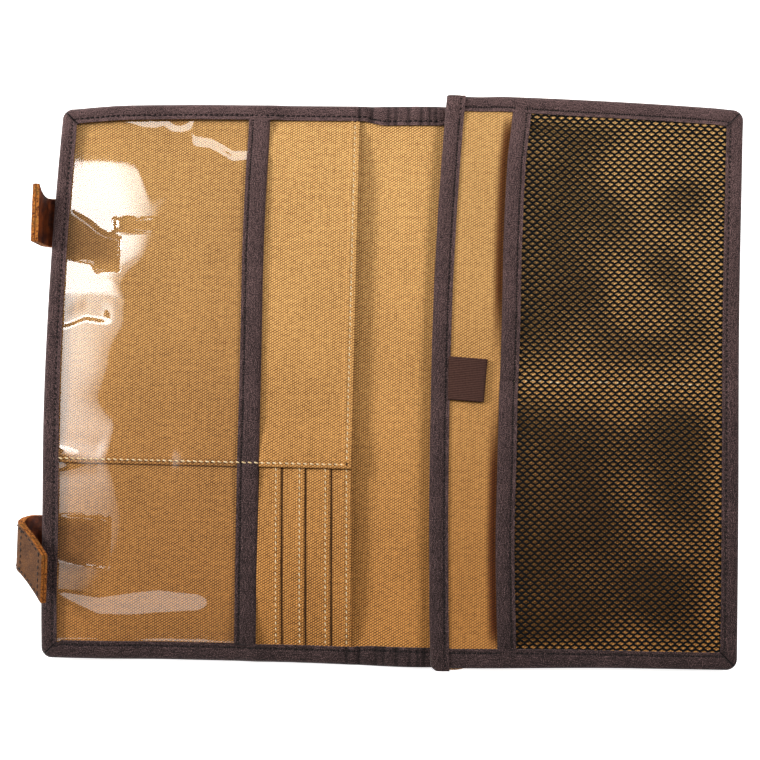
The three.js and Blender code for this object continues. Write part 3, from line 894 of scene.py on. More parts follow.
def mitre(run, corners):
    """The fold of tape at each mitred corner: a slit sunk on the diagonal, one side lying over the other. The
    slit's dark line is painted shade on the tape's colour.
    """
    total = 0 * run
    for corner in corners:
        past = run - corner
        lap = np.where(past > 0, np.exp(-past / MITRE_REACH), 0)
        total = total + 0.5 * lap - 0.8 * bump_at(past, 0.1, 0.35)
    return total


PANEL_STACK = CLEAR + CANVAS + HEM_RISE + 0.1
WINDOW_STACK = CLEAR + CANVAS + STAND_OFF + VINYL + 0.4


def card_stack(x, y):
    """How much the card slots add to the layers that the foot binding takes in."""
    total = 0
    for edge in SLOT_EDGES.values():
        total = total + CARD_LAYER * smooth(x, CARD_LEFT - 8, CARD_LEFT) * (1 - smooth(x, edge, edge + 5))
    return total * (y < 0)


def bound_top(x, y):
    panels = PANEL_STACK * (1 - smooth(x, PANEL_EDGE + 1, PANEL_EDGE + 7))
    window = (WINDOW_STACK - PANEL_STACK) * (1 - smooth(x, WINDOW_EDGE + 1, WINDOW_EDGE + 12))
    return shell_top(x) + panels + window + card_stack(x, y) + 0.9 * spine_share(x)


def spine_share(x):
    return smooth(x, -12, 0) * (1 - smooth(x, 28, 50))


def head_width(x):
    return 8.6 + 2.2 * spine_share(x)


def foot_width(x):
    return 9.8 + 1.0 * spine_share(x)


SIDE_WIDTH = 8.7
reach = SIDE_WIDTH + CORNER_ROUND
near_left = COVER_LEFT + 2 * CORNER_ROUND
head_left, foot_left = float(cover_head(near_left)), float(cover_foot(near_left))
head_right, foot_right = float(cover_head(COVER_RIGHT)), float(cover_foot(COVER_RIGHT))
xs = steps_between(COVER_LEFT + reach, COVER_RIGHT - reach, 1.2)
ys_right = steps_between(foot_right + reach, head_right - reach)
ys_left = steps_between(head_left - reach, foot_left + reach)
left_at_head = float(cover_left(head_left - CORNER_ROUND))
left_at_foot = float(cover_left(foot_left + CORNER_ROUND))
foot_widths = [float(foot_width(x)) for x in xs]
head_widths = [float(head_width(x)) for x in xs[::-1]]
left_widths = [SIDE_WIDTH + 0.5 * bump_at(y, -60, 60) for y in ys_left]
shell_path = join_border([
    side_run([(x, float(cover_foot(x))) for x in xs], (0, 1), foot_widths),
    (*corner_points(COVER_RIGHT, foot_right, 1, -1, False, SIDE_WIDTH), SIDE_WIDTH, True),
    side_run([(COVER_RIGHT, y) for y in ys_right], (-1, 0), [SIDE_WIDTH] * len(ys_right)),
    (*corner_points(COVER_RIGHT, head_right, 1, 1, True, SIDE_WIDTH), SIDE_WIDTH, True),
    side_run([(x, float(cover_head(x))) for x in xs[::-1]], (0, -1), head_widths),
    (*corner_points(left_at_head, head_left, -1, 1, False, 8.3), 8.3, True),
    side_run([(float(cover_left(y)), y) for y in ys_left], (1, 0), left_widths),
    (*corner_points(left_at_foot, foot_left, -1, -1, True, 8.5), 8.5, True),
])
for key in ("fold", "leg"):
    shell_path[key] = np.vstack([shell_path[key], shell_path[key][:1]])
shell_path["width"] = np.append(shell_path["width"], shell_path["width"][0])
last_step = np.hypot(*(shell_path["fold"][-1] - shell_path["fold"][-2]))
shell_path["run"] = np.append(shell_path["run"], shell_path["run"][-1] + last_step)


def shell_relief(run, x, y):
    at_end = np.abs(y) > 120
    creases = sum(bump_at(x, at, 1.2 + 0.3 * (k % 3)) for k, at in enumerate(SPINE_CREASES))
    return mitre(run, shell_path["corners"]) + np.where(at_end, 0.3 * spine_share(x) - 0.9 * creases, 0)


def corner_slit_shade(corners):
    """Painted shade: dark lines where tape is mitred, from each inner corner to its outer corner."""
    def dark(x, y):
        total = 0 * x
        for (at_x, at_y), (to_x, to_y) in corners:
            length = math.hypot(to_x - at_x, to_y - at_y)
            along = ((x - at_x) * (to_x - at_x) + (y - at_y) * (to_y - at_y)) / length
            aside = ((x - at_x) * (to_y - at_y) - (y - at_y) * (to_x - at_x)) / length
            total = total + bump_at(aside, 0, 0.55) * smooth(along, -0.5, 0.5) * (along < length + 2)
        return np.clip(total, 0, 1)
    return dark


def path_corners(path):
    rows = [int(np.argmin(np.abs(path["run"] - at))) for at in path["corners"]]
    return [(path["leg"][row], path["fold"][row]) for row in rows]


shell_slit_shade = corner_slit_shade(path_corners(shell_path))


# Painted shade: dark mitre slits, and dark lines in the creases where the binding puckers over the spine.
def shell_crease_shade(x, y):
    at_end = np.abs(y) > 130
    folds = sum(bump_at(x, at, 1.1) for at in SPINE_CREASES)
    return np.clip(shell_slit_shade(x, y) + 0.7 * folds * at_end, 0, 1)


shell_tape = tape_piece(
    "edge_binding",
    "shell_binding",
    shell_path,
    bound_top,
    lambda x, y: shell_under(x),
    weld=0.02,
    relief=shell_relief,
    creases=shell_crease_shade,
)


# Right leaf and its gusset
# A flat canvas pocket front hangs over the right cover, joined to it by a bulging canvas wall
# round three sides, and stands open at its mouth along the spine.
LEAF_MOUTH = 28.3
LEAF_RIGHT = 196
LEAF_WIDTH = 9.4
LEAF_MOUTH_Z = 14.6
LEAF_RIGHT_Z = 6.4
NET_GAPE = 3.4


def leaf_mouth(y):
    middle = 1 - (y / EDGE_LENGTH) ** 2
    return LEAF_MOUTH + 2.2 - 2.8 * middle + 2.2 * (np.maximum(y, 0) / EDGE_LENGTH) ** 2


def leaf_right(y):
    return LEAF_RIGHT - 0.9 * bump_at(y, 40, 80)


def leaf_head(x):
    return 154.7 + 0.7 * smooth(x, 48, 66) - 2.6 * np.maximum(0, (x - 63) / 125) ** 2


def leaf_foot(x):
    return -153.8 + 1.7 * smooth(x, 30, 140)


def leaf_under(x):
    return LEAF_MOUTH_Z + (LEAF_RIGHT_Z - LEAF_MOUTH_Z) * (x - LEAF_MOUTH) / (LEAF_RIGHT - LEAF_MOUTH)


def leaf_free(x, y, reach=55):
    return free_of(leaf_foot(x), leaf_head(x), y, reach)


def leaf_wave(x, y):
    return ripple(x, y, seed=7, height=0.5) * leaf_free(x, y) * smooth(x, 38, 60)


def slip_top(x, y):
    return leaf_under(x) + CANVAS + leaf_wave(x, y)


NET_EDGES = {
    "y": (-150, -141, -125, -102, -80, -40, -5, 5, 28, 50, 72, 98, 121, 138, 150),
    "x": (66.7, 66.2, 65.3, 64.4, 63.9, 64.2, 64.6, 65, 65.1, 65.1, 65, 65.6, 66.4, 68.2, 69.5),
}


def net_edge(y):
    return eased_row(y, NET_EDGES["y"], NET_EDGES["x"], 4)


def net_gape(y):
    """How far the net stands off along its mouth: none at the middle seam, most a third of the way out."""
    share = np.clip(np.abs(y - 0.5) / 73, 0, 1)
    return NET_GAPE * smooth(share, 0, 0.7)


def net_painted_shade(x, y):
    """Painted shade on the leaf canvas: a shadow beside the net's mouth, where the net stands off it, shade
    under the net, and darker bare canvas outside the net, offsetting the leaf's painted lighter tone.
    """
    gap = net_edge(y) - x
    beside = (1 - smooth(gap, 2.2, 6.2)) * smooth(gap, -6, 0)
    bare = 0.22 * smooth(gap, -3, 1)
    within = smooth(-gap, 2, 12) * (1 - smooth(x, LEAF_RIGHT - 26, LEAF_RIGHT - 10))
    covered = (0.25 - 0.16 * smooth(y, -10, 10)) * smooth(np.abs(y - 0.5), 4, 26) * within
    open_mouth = net_gape(y) / NET_GAPE * leaf_free(x, y, 14)
    return bare + covered * leaf_free(x, y, 25) + 0.78 * beside * open_mouth


# Painted light: the leaf canvas is painted lighter than the rest, standing in for light reaching it through
# the net's holes.
leaf_canvas = canvas_finish("leaf_canvas", painted_shade_shift=-0.1)
slip_place = sheet_place(
    lambda y: leaf_mouth(y) + HIDDEN_INSET,
    lambda y: leaf_right(y) - HIDDEN_INSET,
    lambda x: leaf_foot(x) + HIDDEN_INSET,
    lambda x: leaf_head(x) - HIDDEN_INSET,
    slip_top,
    round_by=CORNER_ROUND,
)
slip_pocket = sheet_piece("slip_pocket", "slip_panel", (160, 140), slip_place, leaf_canvas, painted_shade=net_painted_shade)


def leaf_border(start_x, inset=0, width=LEAF_WIDTH):
    """Border of the leaf from the head end of its mouth round to the foot end."""
    right = LEAF_RIGHT - inset

    def head(x):
        return float(leaf_head(x)) - inset

    def foot(x):
        return float(leaf_foot(x)) + inset

    reach = width + CORNER_ROUND
    xs = steps_between(start_x, right - reach)
    ys = steps_between(head(right) - reach, foot(right) + reach)
    head_wide = [width - 1.2 * (1 - float(smooth(x, 45, 110))) for x in xs]
    foot_wide = [width + 1.1 * (1 - float(smooth(x, 60, 150))) for x in xs]
    return join_border([
        side_run([(x, head(x)) for x in xs], (0, -1), head_wide),
        (*corner_points(right, head(right), 1, 1, False, width), width, True),
        side_run([(float(leaf_right(y)) - inset, y) for y in ys], (-1, 0), [width] * len(ys)),
        (*corner_points(right, foot(right), 1, -1, True, width), width, True),
        side_run([(x, foot(x)) for x in xs[::-1]], (0, 1), foot_wide[::-1]),
    ])


GUSSET_START = 41
GUSSET_BITE = 5.0
gusset_path = leaf_border(GUSSET_START, GUSSET_BITE)


def gusset_place(across, along):
    row = np.rint(along * (len(gusset_path["run"]) - 1)).astype(int)
    fold, leg = gusset_path["fold"][row], gusset_path["leg"][row]
    out = fold - leg
    out = out / np.hypot(out[:, 0], out[:, 1])[:, None]
    low = shell_top(fold[:, 0]) + 2 * CLEAR + TAPE
    high = leaf_under(fold[:, 0]) - 2 * CLEAR - TAPE
    run = gusset_path["run"][row]
    creases = 0.35 * np.sin(run / 3.1) * np.sin(run / 11.0 + 1.0)
    peek = 3.4 * (1 - smooth(fold[:, 0], 41.5, 57)) * (fold[:, 1] < 0)
    bulge = np.minimum(4.4, 0.5 * (high - low)) + creases + peek
    at = fold + out * (bulge * np.sin(math.pi * across))[:, None]
    z = low + across * (high - low)
    return (at[:, 0], at[:, 1], z), (run, across * (high - low))


gusset_cells = (10, len(gusset_path["run"]) - 1)
gusset = sheet_piece("gusset_strip", "pocket_gusset", gusset_cells, gusset_place, plain_canvas)

slip_ends = float(leaf_foot(LEAF_MOUTH)) - 1.2, float(leaf_head(LEAF_MOUTH))
slip_path = mouth_path(leaf_mouth, 1, *slip_ends, width=10.2, step=1.0)
from_end = slip_path["fold"][:, 1] - slip_path["fold"][0, 1]
slip_path["fold"][:, 0] += 2.6 * np.clip(1 - from_end / 3.5, 0, 1) ** 2


def slip_relief(run, x, y):
    ends = bump_at(y, leaf_head(x) - 9, 3) + bump_at(y, leaf_foot(x) + 9, 3)
    return 1.3 * smooth(np.abs(y), 140, 147) - 0.5 * ends


slip_tape = tape_piece(
    "slip_binding", "slip_tape", slip_path, slip_top, lambda x, y: leaf_under(x), relief=slip_relief
)


# Net pocket
# A soft knitted net with wide six-sided holes makes two pockets on the leaf, one above the other.
# It is bound with the leaf's edges, sewn down across its middle, and stands off at its mouth.
NET = 0.32
NET_EDGE = 65.5
NET_PITCH = 4.5
NET_ROW = 2.0
NET_JOINT = 0.8
NET_STRAND = 1.05
NET_WALL = 0.25
NET_STAND = 0.05
NET_FOOT = -153
NET_HEIGHT = 310
NET_WIDTH = 134


def net_under(x, y):
    gape = net_gape(y) * leaf_free(x, y, 30) * (1 - smooth(x, 70, 125))
    waves = ripple(x, y, seed=17, height=2.0, shortest=40, longest=90)
    sag = np.maximum(waves + 0.2 + 0.9 * (y < 0), 0)
    sag = sag * leaf_free(x, y, 30) * smooth(np.abs(y - 0.5), 2, 30)
    within = smooth(x, 68, 84) * (1 - smooth(x, LEAF_RIGHT - 28, LEAF_RIGHT - 11))
    return slip_top(x, y) + NET_STAND + gape + sag * within


half_x, half_joint = NET_PITCH / 2, NET_JOINT / 2
tip = NET_ROW - half_joint
outer_ring = np.array([
    (0, tip), (half_x, half_joint), (half_x, -half_joint),
    (0, -tip), (-half_x, -half_joint), (-half_x, half_joint),
])
side_inset = NET_STRAND / 2
slope = math.atan2(tip - half_joint, half_x)
tip_inset = side_inset / math.cos(slope)
inner_x = half_x - side_inset
inner_y = half_joint - tip_inset + (tip - half_joint) * side_inset / half_x
inner_ring = np.array([
    (0, tip - tip_inset), (inner_x, inner_y), (inner_x, -inner_y),
    (0, -(tip - tip_inset)), (-inner_x, -inner_y), (-inner_x, inner_y),
])
net_rows = int(NET_HEIGHT / NET_ROW)
net_columns = int(NET_WIDTH / NET_PITCH)
centres = []
for row in range(net_rows):
    for column in range(net_columns):
        x = NET_EDGE + 1.5 + NET_PITCH * (column + 0.5 * (row % 2))
        y = NET_FOOT + NET_ROW * row
        inside_x = net_edge(y) + 2.5 < x < LEAF_RIGHT - 4.5
        inside_y = leaf_foot(x) + 4 < y < leaf_head(x) - 4
        if inside_x and inside_y:
            centres.append((x, y))
centres = np.array(centres)
ring = np.vstack([outer_ring, inner_ring])
knit = (centres[:, None, :] + ring[None, :, :]).reshape(-1, 2)
first = 12 * np.arange(len(centres))[:, None, None]
side = np.arange(6)
after = (side + 1) % 6
quads = np.stack([side, 6 + side, 6 + after, after], 1)
faces = (first + quads[None]).reshape(-1, 4)
knit_x, knit_y = knit[:, 0], knit[:, 1]
drawn_x = knit_x + 0.5 * np.sin(knit_y / 31) * smooth(knit_x, 66, 90)
drawn_y = knit_y + 0.45 * np.sin(knit_x / 23 + 1.0)
is_hole = np.tile(np.arange(12) >= 6, len(centres))
knit_z = net_under(drawn_x, drawn_y) + NET - 0.12 * is_hole


def mesh_piece(name, points, faces):
    """A piece with these points and faces, made the active one."""
    mesh = bpy.data.meshes.new(name)
    mesh.from_pydata((points * MM).tolist(), [], faces)
    piece = bpy.data.objects.new(name, mesh)
    bpy.context.scene.collection.objects.link(piece)
    bpy.ops.object.select_all(action="DESELECT")
    piece.select_set(True)
    bpy.context.view_layer.objects.active = piece
    return piece


net_pocket = mesh_piece("net_mesh", np.stack([drawn_x, drawn_y, knit_z], 1), faces.tolist())
mend(weld=0.03, outward=True)
give_wall(net_pocket, NET_WALL, sharp=60)
net_finish, start = new_finish("knitted_net")
strand = start.noise(start.place(), 1600, 2)
net_colour = strand.between(0.3, 0.75).blend(colour(3, 4, 4), colour(14, 17, 17))
show_skin(start, net_colour, roughness=0.8, shine=0.12, height=strand, bump=(0.4, 0.15))
finished(net_pocket, net_finish, "net_pocket")


def net_over(x, y):
    return net_under(x, y) + NET


def net_relief(run, x, y):
    return -1.0 * bump_at(y, 0.5, 0.8)


net_ends = float(leaf_foot(NET_EDGE)) + 6, float(leaf_head(NET_EDGE)) - 6
net_path = mouth_path(net_edge, 1, *net_ends, width=10.0)
net_tape = tape_piece("net_binding", "net_tape", net_path, net_over, net_under, relief=net_relief)

NET_STACK = NET_STAND + NET


def leaf_bound_top(x, y):
    return leaf_under(x) + CANVAS + NET_STACK * smooth(x, NET_EDGE - 12, NET_EDGE)


leaf_path = leaf_border(LEAF_MOUTH + 9.5)
leaf_tape = tape_piece(
    "leaf_edge_binding",
    "leaf_binding",
    leaf_path,
    leaf_bound_top,
    lambda x, y: leaf_under(x),
    relief=lambda run, x, y: mitre(run, leaf_path["corners"]),
    creases=corner_slit_shade(path_corners(leaf_path)),
)


# Elastic loop
# A short loop of ribbed brown elastic, folded double, is sewn under the tape at the leaf's mouth.
# It has room for a pen, and lies flat here.
ELASTIC = 0.8
TAB_RIGHT = 58
TAB_FOOT = -10.2
TAB_HEAD = 12.8
TAB_GAP = 1.2
RIB_PITCH = 0.95
tab_left = float(leaf_mouth(TAB_HEAD)) + 9.2
tab_ys = np.linspace(TAB_FOOT, TAB_HEAD, 120)
tab_profile = [(0.0, 1), (0.2, 1), (0.4, 1), (0.6, 1), (0.8, 1), (0.93, 1)]
tab_profile += [(1 - 0.07 * (1 - math.cos(a)), math.sin(a)) for a in np.linspace(1.3, -1.3, 7)]
tab_profile += [(0.93, -1), (0.6, -1), (0.3, -1), (0.0, -1)]


def tab_place(across, along):
    row = np.rint(along * (len(tab_ys) - 1)).astype(int)
    column = np.rint(across * (len(tab_profile) - 1)).astype(int)
    share, lean = np.array(tab_profile).T
    y = tab_ys[row] - 2.6 * share[column] * 0.4
    right = TAB_RIGHT - 1.6 * (1 - along)
    x = tab_left + (right - tab_left) * share[column]
    middle = slip_top(x, y) + CLEAR + ELASTIC + TAB_GAP / 2
    half = TAB_GAP / 2 + ELASTIC
    ribs = 0.08 * np.cos(math.tau * tab_ys[row] / RIB_PITCH)
    bow = 0.35 * np.sin(math.pi * share[column]) * np.maximum(lean[column], 0)
    z = middle + lean[column] * half + ribs * lean[column] + bow
    cloth_run = share[column] * (TAB_RIGHT - tab_left) * np.where(lean[column] > 0, 1, -1)
    return (x, y, z), (cloth_run, tab_ys[row])


tab = grid_piece("elastic_loop", len(tab_profile) - 1, len(tab_ys) - 1, tab_place)
give_wall(tab, ELASTIC, sharp=60)
elastic_finish, start = new_finish("ribbed_elastic")
cloth = start.cloth()
cloth_run, level = start.split(cloth)
rib = (level * (math.tau / (RIB_PITCH * MM))).math("COSINE") * 0.5 + 0.5
knot = (cloth_run * (math.tau / (0.9 * MM))).math("SINE")
fuzz = start.noise(cloth, 800, 2)
tone = rib * 0.5 + knot * 0.06 + fuzz * 0.5 - 0.02
elastic_base = tone.between(0, 1).blend(colour(42, 24, 20), colour(92, 62, 53))
show_skin(start, elastic_base, roughness=0.85, shine=0.2, height=rib + fuzz, bump=(0.5, 0.2))
finished(tab, elastic_finish, "elastic_tab")


# Leather straps
# Two straps, each of two plies of brown leather with raw edges, are sewn under the left cover.
# The upper one stands up past the edge and the lower one folds back over the binding.
STRAPS = [
    {
        "name": "strap_head", "node": "strap_upper", "y": 82.0, "anchor": -146, "bend_at": -181.6,
        "radius": 3.8, "turn": 86, "free": 17, "shift": 0, "flare": 5.0, "width": 26.4,
    },
    {
        "name": "strap_foot", "node": "strap_lower", "y": -90.6, "anchor": -148, "bend_at": -186.0,
        "radius": 5.4, "turn": 140, "free": 19, "shift": -20, "flare": 0, "width": 25.4,
    },
]
strap_shares = [-1 + 2 * k / 11 for k in range(12)]
strap_sides = [(1.0, 0.72), (0.985, 0.12), (0.955, 0.0), (0.985, -0.12), (1.0, -0.72)]
strap_ring = [(-0.975, 1.0), *[(share * 0.97, 1) for share in strap_shares[1:-1]], (0.975, 1.0)]
strap_ring += strap_sides
strap_ring += [(-share, -lean) for share, lean in strap_ring]
strap_ring.append(strap_ring[0])


def strap_line(strap):
    """Path of a strap's middle: x, z, heading and run, flat, round its bend, then straight to its end."""
    turn = math.radians(strap["turn"])
    flat_run = strap["bend_at"] - strap["anchor"]
    flat_steps = np.linspace(0, 1, 15)[:-1]
    bend_steps = np.linspace(0, 1, 22)
    free_steps = np.linspace(0, 1, 14)[1:]
    x = [strap["anchor"] + flat_run * s for s in flat_steps]
    z = [LEATHER / 2 for s in flat_steps]
    heading = [0.0 for s in flat_steps]
    for s in bend_steps:
        heading.append(turn * s)
        x.append(strap["bend_at"] - strap["radius"] * math.sin(turn * s))
        z.append(LEATHER / 2 + strap["radius"] * (1 - math.cos(turn * s)))
    end_x, end_z = x[-1], z[-1]
    for s in free_steps:
        x.append(end_x - strap["free"] * s * math.cos(turn))
        z.append(end_z + strap["free"] * s * math.sin(turn))
        heading.append(turn)
    x, z, heading = np.array(x), np.array(z), np.array(heading)
    run = np.concatenate([[0], np.cumsum(np.hypot(np.diff(x), np.diff(z)))])
    share = np.clip((run + flat_run) / (run[-1] + flat_run), 0, 1)
    return x, z, heading, run, share


def strap_point(strap, at, share, lean):
    """Point of a strap at a run along its path, a share across its width and a lean to its outer face."""
    *shape, run, share_out = strap_line(strap)
    x, z, heading, out = (np.interp(at, run, values) for values in (*shape, share_out))
    middle = strap["y"] + strap["shift"] * out ** 1.5
    half = strap["width"] / 2
    flare = np.where(share > 0, strap["flare"] * out ** 4, 0)
    y = middle + share * (half + flare / 2) + flare / 2
    depth = lean * STRAP_WALL / 2
    return np.stack([x - depth * np.sin(heading), y, z - depth * np.cos(heading)], 1)


STRAP_WALL = 3.9
LEATHER_GRAIN = colour(106, 66, 31)
LEATHER_DEEP = colour(60, 33, 14)
LEATHER_EDGE = colour(184, 112, 46)
LEATHER_BACK = colour(128, 60, 24)


def leather_finish(name, end):
    """Oiled brown leather: pebbled grain, a darker inside, and raw orange edges and cut end."""
    material, start = new_finish(name)
    run, around = start.split(start.cloth())
    where = start.place()
    pebble = start.node(
        "ShaderNodeTexVoronoi", {"feature": "DISTANCE_TO_EDGE"}, {"Vector": where, "Scale": 900.0}
    )
    cloud = start.noise(where, 130, 4, 0.6)
    fibre = start.noise(where, 900, 3, 0.7)
    past_face = around.between(0.99 * MM, 1.01 * MM)
    outer = 1 - past_face
    edge = past_face * (1 - around.between(1.99 * MM, 2.01 * MM))
    far_edge = around.between(2.99 * MM, 3.01 * MM)
    cut = (edge + far_edge + run.between((end - 0.1) * MM, (end + 0.2) * MM)).between(0, 1)
    off_joints = [(around - zone * MM).math("ABSOLUTE") for zone in (1.5, 3.5)]
    joint, far_joint = (1 - off.between(0.03 * MM, 0.12 * MM) for off in off_joints)
    plies = (joint + far_joint + run.between((end + 1.5) * MM, (end + 1.9) * MM)).between(0, 1)
    grain_tone = cloud * 0.9 + pebble.between(0, 0.25) * 0.3 - 0.1
    face = grain_tone.between(0.1, 0.9).blend(LEATHER_DEEP, LEATHER_GRAIN)
    back = cloud.between(0.3, 0.7).blend(colour(50, 20, 12), LEATHER_BACK)
    raw = fibre.between(0.36, 0.62).blend(colour(84, 36, 12), LEATHER_EDGE)
    raw = (cloud.between(0.5, 0.7) * 0.6).blend(raw, colour(132, 96, 44))
    raw = (plies * fibre.between(0.35, 0.6) * 0.85).blend(raw, colour(26, 12, 7))
    base = cut.blend(outer.blend(back, face), raw)
    height = pebble.between(0, 0.3) * 0.6 + cloud * 0.5 + fibre * (cut * 0.9 + 0.2)
    show_skin(start, base, roughness=0.68 + cut * 0.25, shine=0.22, height=height, bump=(0.5, 0.3))
    return material


def strap_around(column):
    """Zone of the strap's ring: 0 to 1 outer face, 1 to 2 edge, 2 to 3 inner face, 3 to 4 edge."""
    half = len(strap_ring) // 2
    zone = []
    for k in range(len(strap_ring)):
        part, place = divmod(k, half)
        faces_end = len(strap_shares) - 1
        inside = place / faces_end if place <= faces_end else 1 + (place - faces_end) / (half - faces_end)
        zone.append(min(4.0, 2 * part + inside))
    return np.array(zone)[column]


for strap in STRAPS:
    rows = len(strap_line(strap)[0])
    ends = [0, *range(rows), rows - 1]
    squeeze = np.array([0.0, *[1.0] * rows, 0.0])
    strap_run = strap_line(strap)[3]
    run_of = np.array([strap_run[0] - 1, *strap_run, strap_run[-1] + 2])

    def strap_place(across, along):
        step = np.rint(along * (len(ends) - 1)).astype(int)
        column = np.rint(across * (len(strap_ring) - 1)).astype(int)
        share, lean = np.array(strap_ring).T
        row = np.array(ends)[step]
        points = strap_point(strap, strap_run[row], share[column], lean[column] * squeeze[step])
        rough_run = points[:, 2] * 3 + points[:, 1]
        rough = 0.16 * ripple(points[:, 0] * 3, rough_run, seed=5, height=1.0, shortest=4, longest=12)
        points[:, 1] += rough * (np.abs(share[column]) > 0.94)
        points[:, 0] += rough * (step == len(ends) - 2)
        return points.T, (run_of[step], strap_around(column))

    piece = grid_piece(strap["name"], len(strap_ring) - 1, len(ends) - 1, strap_place)
    mend(weld=0.01, outward=True)
    bpy.ops.object.shade_smooth_by_angle(angle=math.radians(35))
    finished(piece, leather_finish(strap["name"] + "_leather", strap_run[-1]), strap["node"])


# Stitching
# Rows of lockstitch hold the pieces: cream thread on the canvas hems, the seam across the left cover
# and the net's middle seam, dark brown thread on the tapes and the straps.
bpy.ops.object.select_all(action="DESELECT")
bpy.ops.mesh.primitive_uv_sphere_add(segments=6, ring_count=5, radius=1)
model_stitch = bpy.context.object
stitch_shape = np.array([v.co for v in model_stitch.data.vertices])[:, [2, 0, 1]]
stitch_faces = [list(p.vertices) for p in model_stitch.data.polygons]
bpy.data.objects.remove(model_stitch)


def laid_stitches(middles, ahead, up, half, thick):
    """Stitches at the points middles, each pointing ahead on a surface that faces up."""
    along, aside, rise = (stitch_shape[None, :, k, None] for k in range(3))
    side = np.cross(up, ahead)
    points = middles[:, None] + ahead[:, None] * along * half[:, None, None] + side[:, None] * aside * thick
    points = points + up[:, None] * (rise * thick * 0.8 - 0.28 * along ** 2)
    return points.reshape(-1, 3)


def stitch_row(line, top, pitch, length, thick, slant=0.16, sink=0.1):
    """Stitches along a line of points, lying on the height that top gives, each a little aslant."""
    line = np.array(line, float)
    steps = np.hypot(*np.diff(line, axis=0).T)
    run = np.concatenate([[0], np.cumsum(steps)])
    at = np.arange(pitch / 2, run[-1], pitch)
    x, y = np.interp(at, run, line[:, 0]), np.interp(at, run, line[:, 1])
    ahead = [np.interp(at + 0.3, run, line[:, k]) - np.interp(at - 0.3, run, line[:, k]) for k in (0, 1)]
    heading = np.arctan2(ahead[1], ahead[0]) + slant
    draw = np.random.default_rng(41)
    heading = heading + draw.normal(0, 0.05, len(at))
    half = length / 2 * draw.uniform(0.9, 1.08, len(at))
    ahead = np.stack([np.cos(heading), np.sin(heading), 0 * heading], 1)
    up = np.tile([0.0, 0.0, 1.0], (len(at), 1))
    return laid_stitches(np.stack([x, y, top(x, y) - sink], 1), ahead, up, half, thick)


def thread_piece(name, rows, material):
    points = np.vstack(rows)
    count = len(points) // len(stitch_shape)
    faces = [[v + k * len(stitch_shape) for v in f] for k in range(count) for f in stitch_faces]
    piece = mesh_piece(name, points, faces)
    mend(outward=True)
    bpy.ops.object.shade_smooth()
    return finished(piece, material)


def thread_finish(name, light, dark):
    material, start = new_finish(name)
    twist = start.noise(start.place(), 1500, 2)
    show_skin(start, twist.between(0.35, 0.65).blend(dark, light), roughness=0.7, shine=0.3)
    return material


def hem_stitches(line, top):
    return stitch_row(line, top, STITCH_PITCH, length=2.5, thick=0.38, sink=-0.1)


hem_x = PANEL_EDGE - HEM_STITCH
hem_line = [(hem_x, y) for y in np.linspace(SEAM_STITCH_Y + 2, 141, 80)]
card_line = [(card_edge(y) - HEM_STITCH, y) for y in np.linspace(-144, SEAM_Y, 80)]
cream_rows = [hem_stitches(hem_line, document_top), hem_stitches(card_line, card_top)]
for layer, slot_edge in enumerate(SLOT_EDGES.values()):
    right = slot_edge_at(slot_edge)
    line = [(right(y) - HEM_STITCH, y) for y in np.linspace(-144, SEAM_Y - 0.5, 60)]
    cream_rows.append(hem_stitches(line, slot_top(slot_edge, layer)))


def seam_top(x, y):
    film = window_over(x, y)
    taped = film + CLEAR + TAPE + 0.35
    over_tape = smooth(x, -76.5, -75) * (1 - smooth(x, -64.5, -63.5))
    on_film = np.where(x < -64, film, document_top(x, y))
    return on_film * (1 - over_tape) + taped * over_tape


seam_line = [(x, SEAM_STITCH_Y) for x in np.linspace(-172.5, hem_x, 160)]
cream_rows.append(
    stitch_row(seam_line, seam_top, STITCH_PITCH, length=2.5, thick=0.5, slant=-0.25, sink=0.0)
)
net_seam_xs = np.linspace(NET_EDGE + 6, LEAF_RIGHT - 9, 200)
net_seam = [(x, 0.5 + 0.6 * math.cos((x - 82) / 6.4)) for x in net_seam_xs]
cream_rows.append(stitch_row(net_seam, slip_top, STITCH_PITCH, length=2.6, thick=0.55, sink=0.0))
cream_thread = thread_finish("cream_thread", colour(244, 222, 182), colour(206, 170, 120))
thread_piece("cream_stitches", cream_rows, cream_thread)


def taped_line(path, inset=STITCH_INSET):
    share = ((path["width"] - inset) / path["width"])[:, None]
    return path["fold"] * (1 - share) + path["leg"] * share


dark_rows = []
for path, over in (
    (window_path, window_over),
    (shell_path, bound_top),
    (slip_path, slip_top),
    (net_path, net_over),
    (leaf_path, leaf_bound_top),
):
    def tape_top(x, y):
        return over(x, y) + CLEAR + TAPE - 0.2
    tape_line = taped_line(path)
    dark_rows.append(stitch_row(tape_line, tape_top, TAPE_PITCH, length=1.6, thick=0.4, sink=-0.1))
STRAP_PITCH = 2.8


def strap_stitches(strap, ends, shares):
    """A row of stitches on the outer face of a strap, from one run and share across it to another."""
    first, last = (strap_point(strap, np.array([r]), np.array([s]), 1)[0] for r, s in zip(ends, shares))
    count = max(2, int(np.linalg.norm(last - first) / STRAP_PITCH))
    at = np.linspace(*ends, count)
    share = np.linspace(*shares, count)
    step = [(b - a) / count * 0.2 for a, b in (ends, shares)]
    after = strap_point(strap, at + step[0], share + step[1], 1)
    before = strap_point(strap, at - step[0], share - step[1], 1)
    ahead = after - before
    ahead = ahead / np.linalg.norm(ahead, axis=1)[:, None]
    up = strap_point(strap, at, share, 1.1) - strap_point(strap, at, share, 0.9)
    up = up / np.linalg.norm(up, axis=1)[:, None]
    middles = strap_point(strap, at, share, 1)
    return laid_stitches(middles, ahead, up, half=np.full(count, 1.3), thick=0.5)


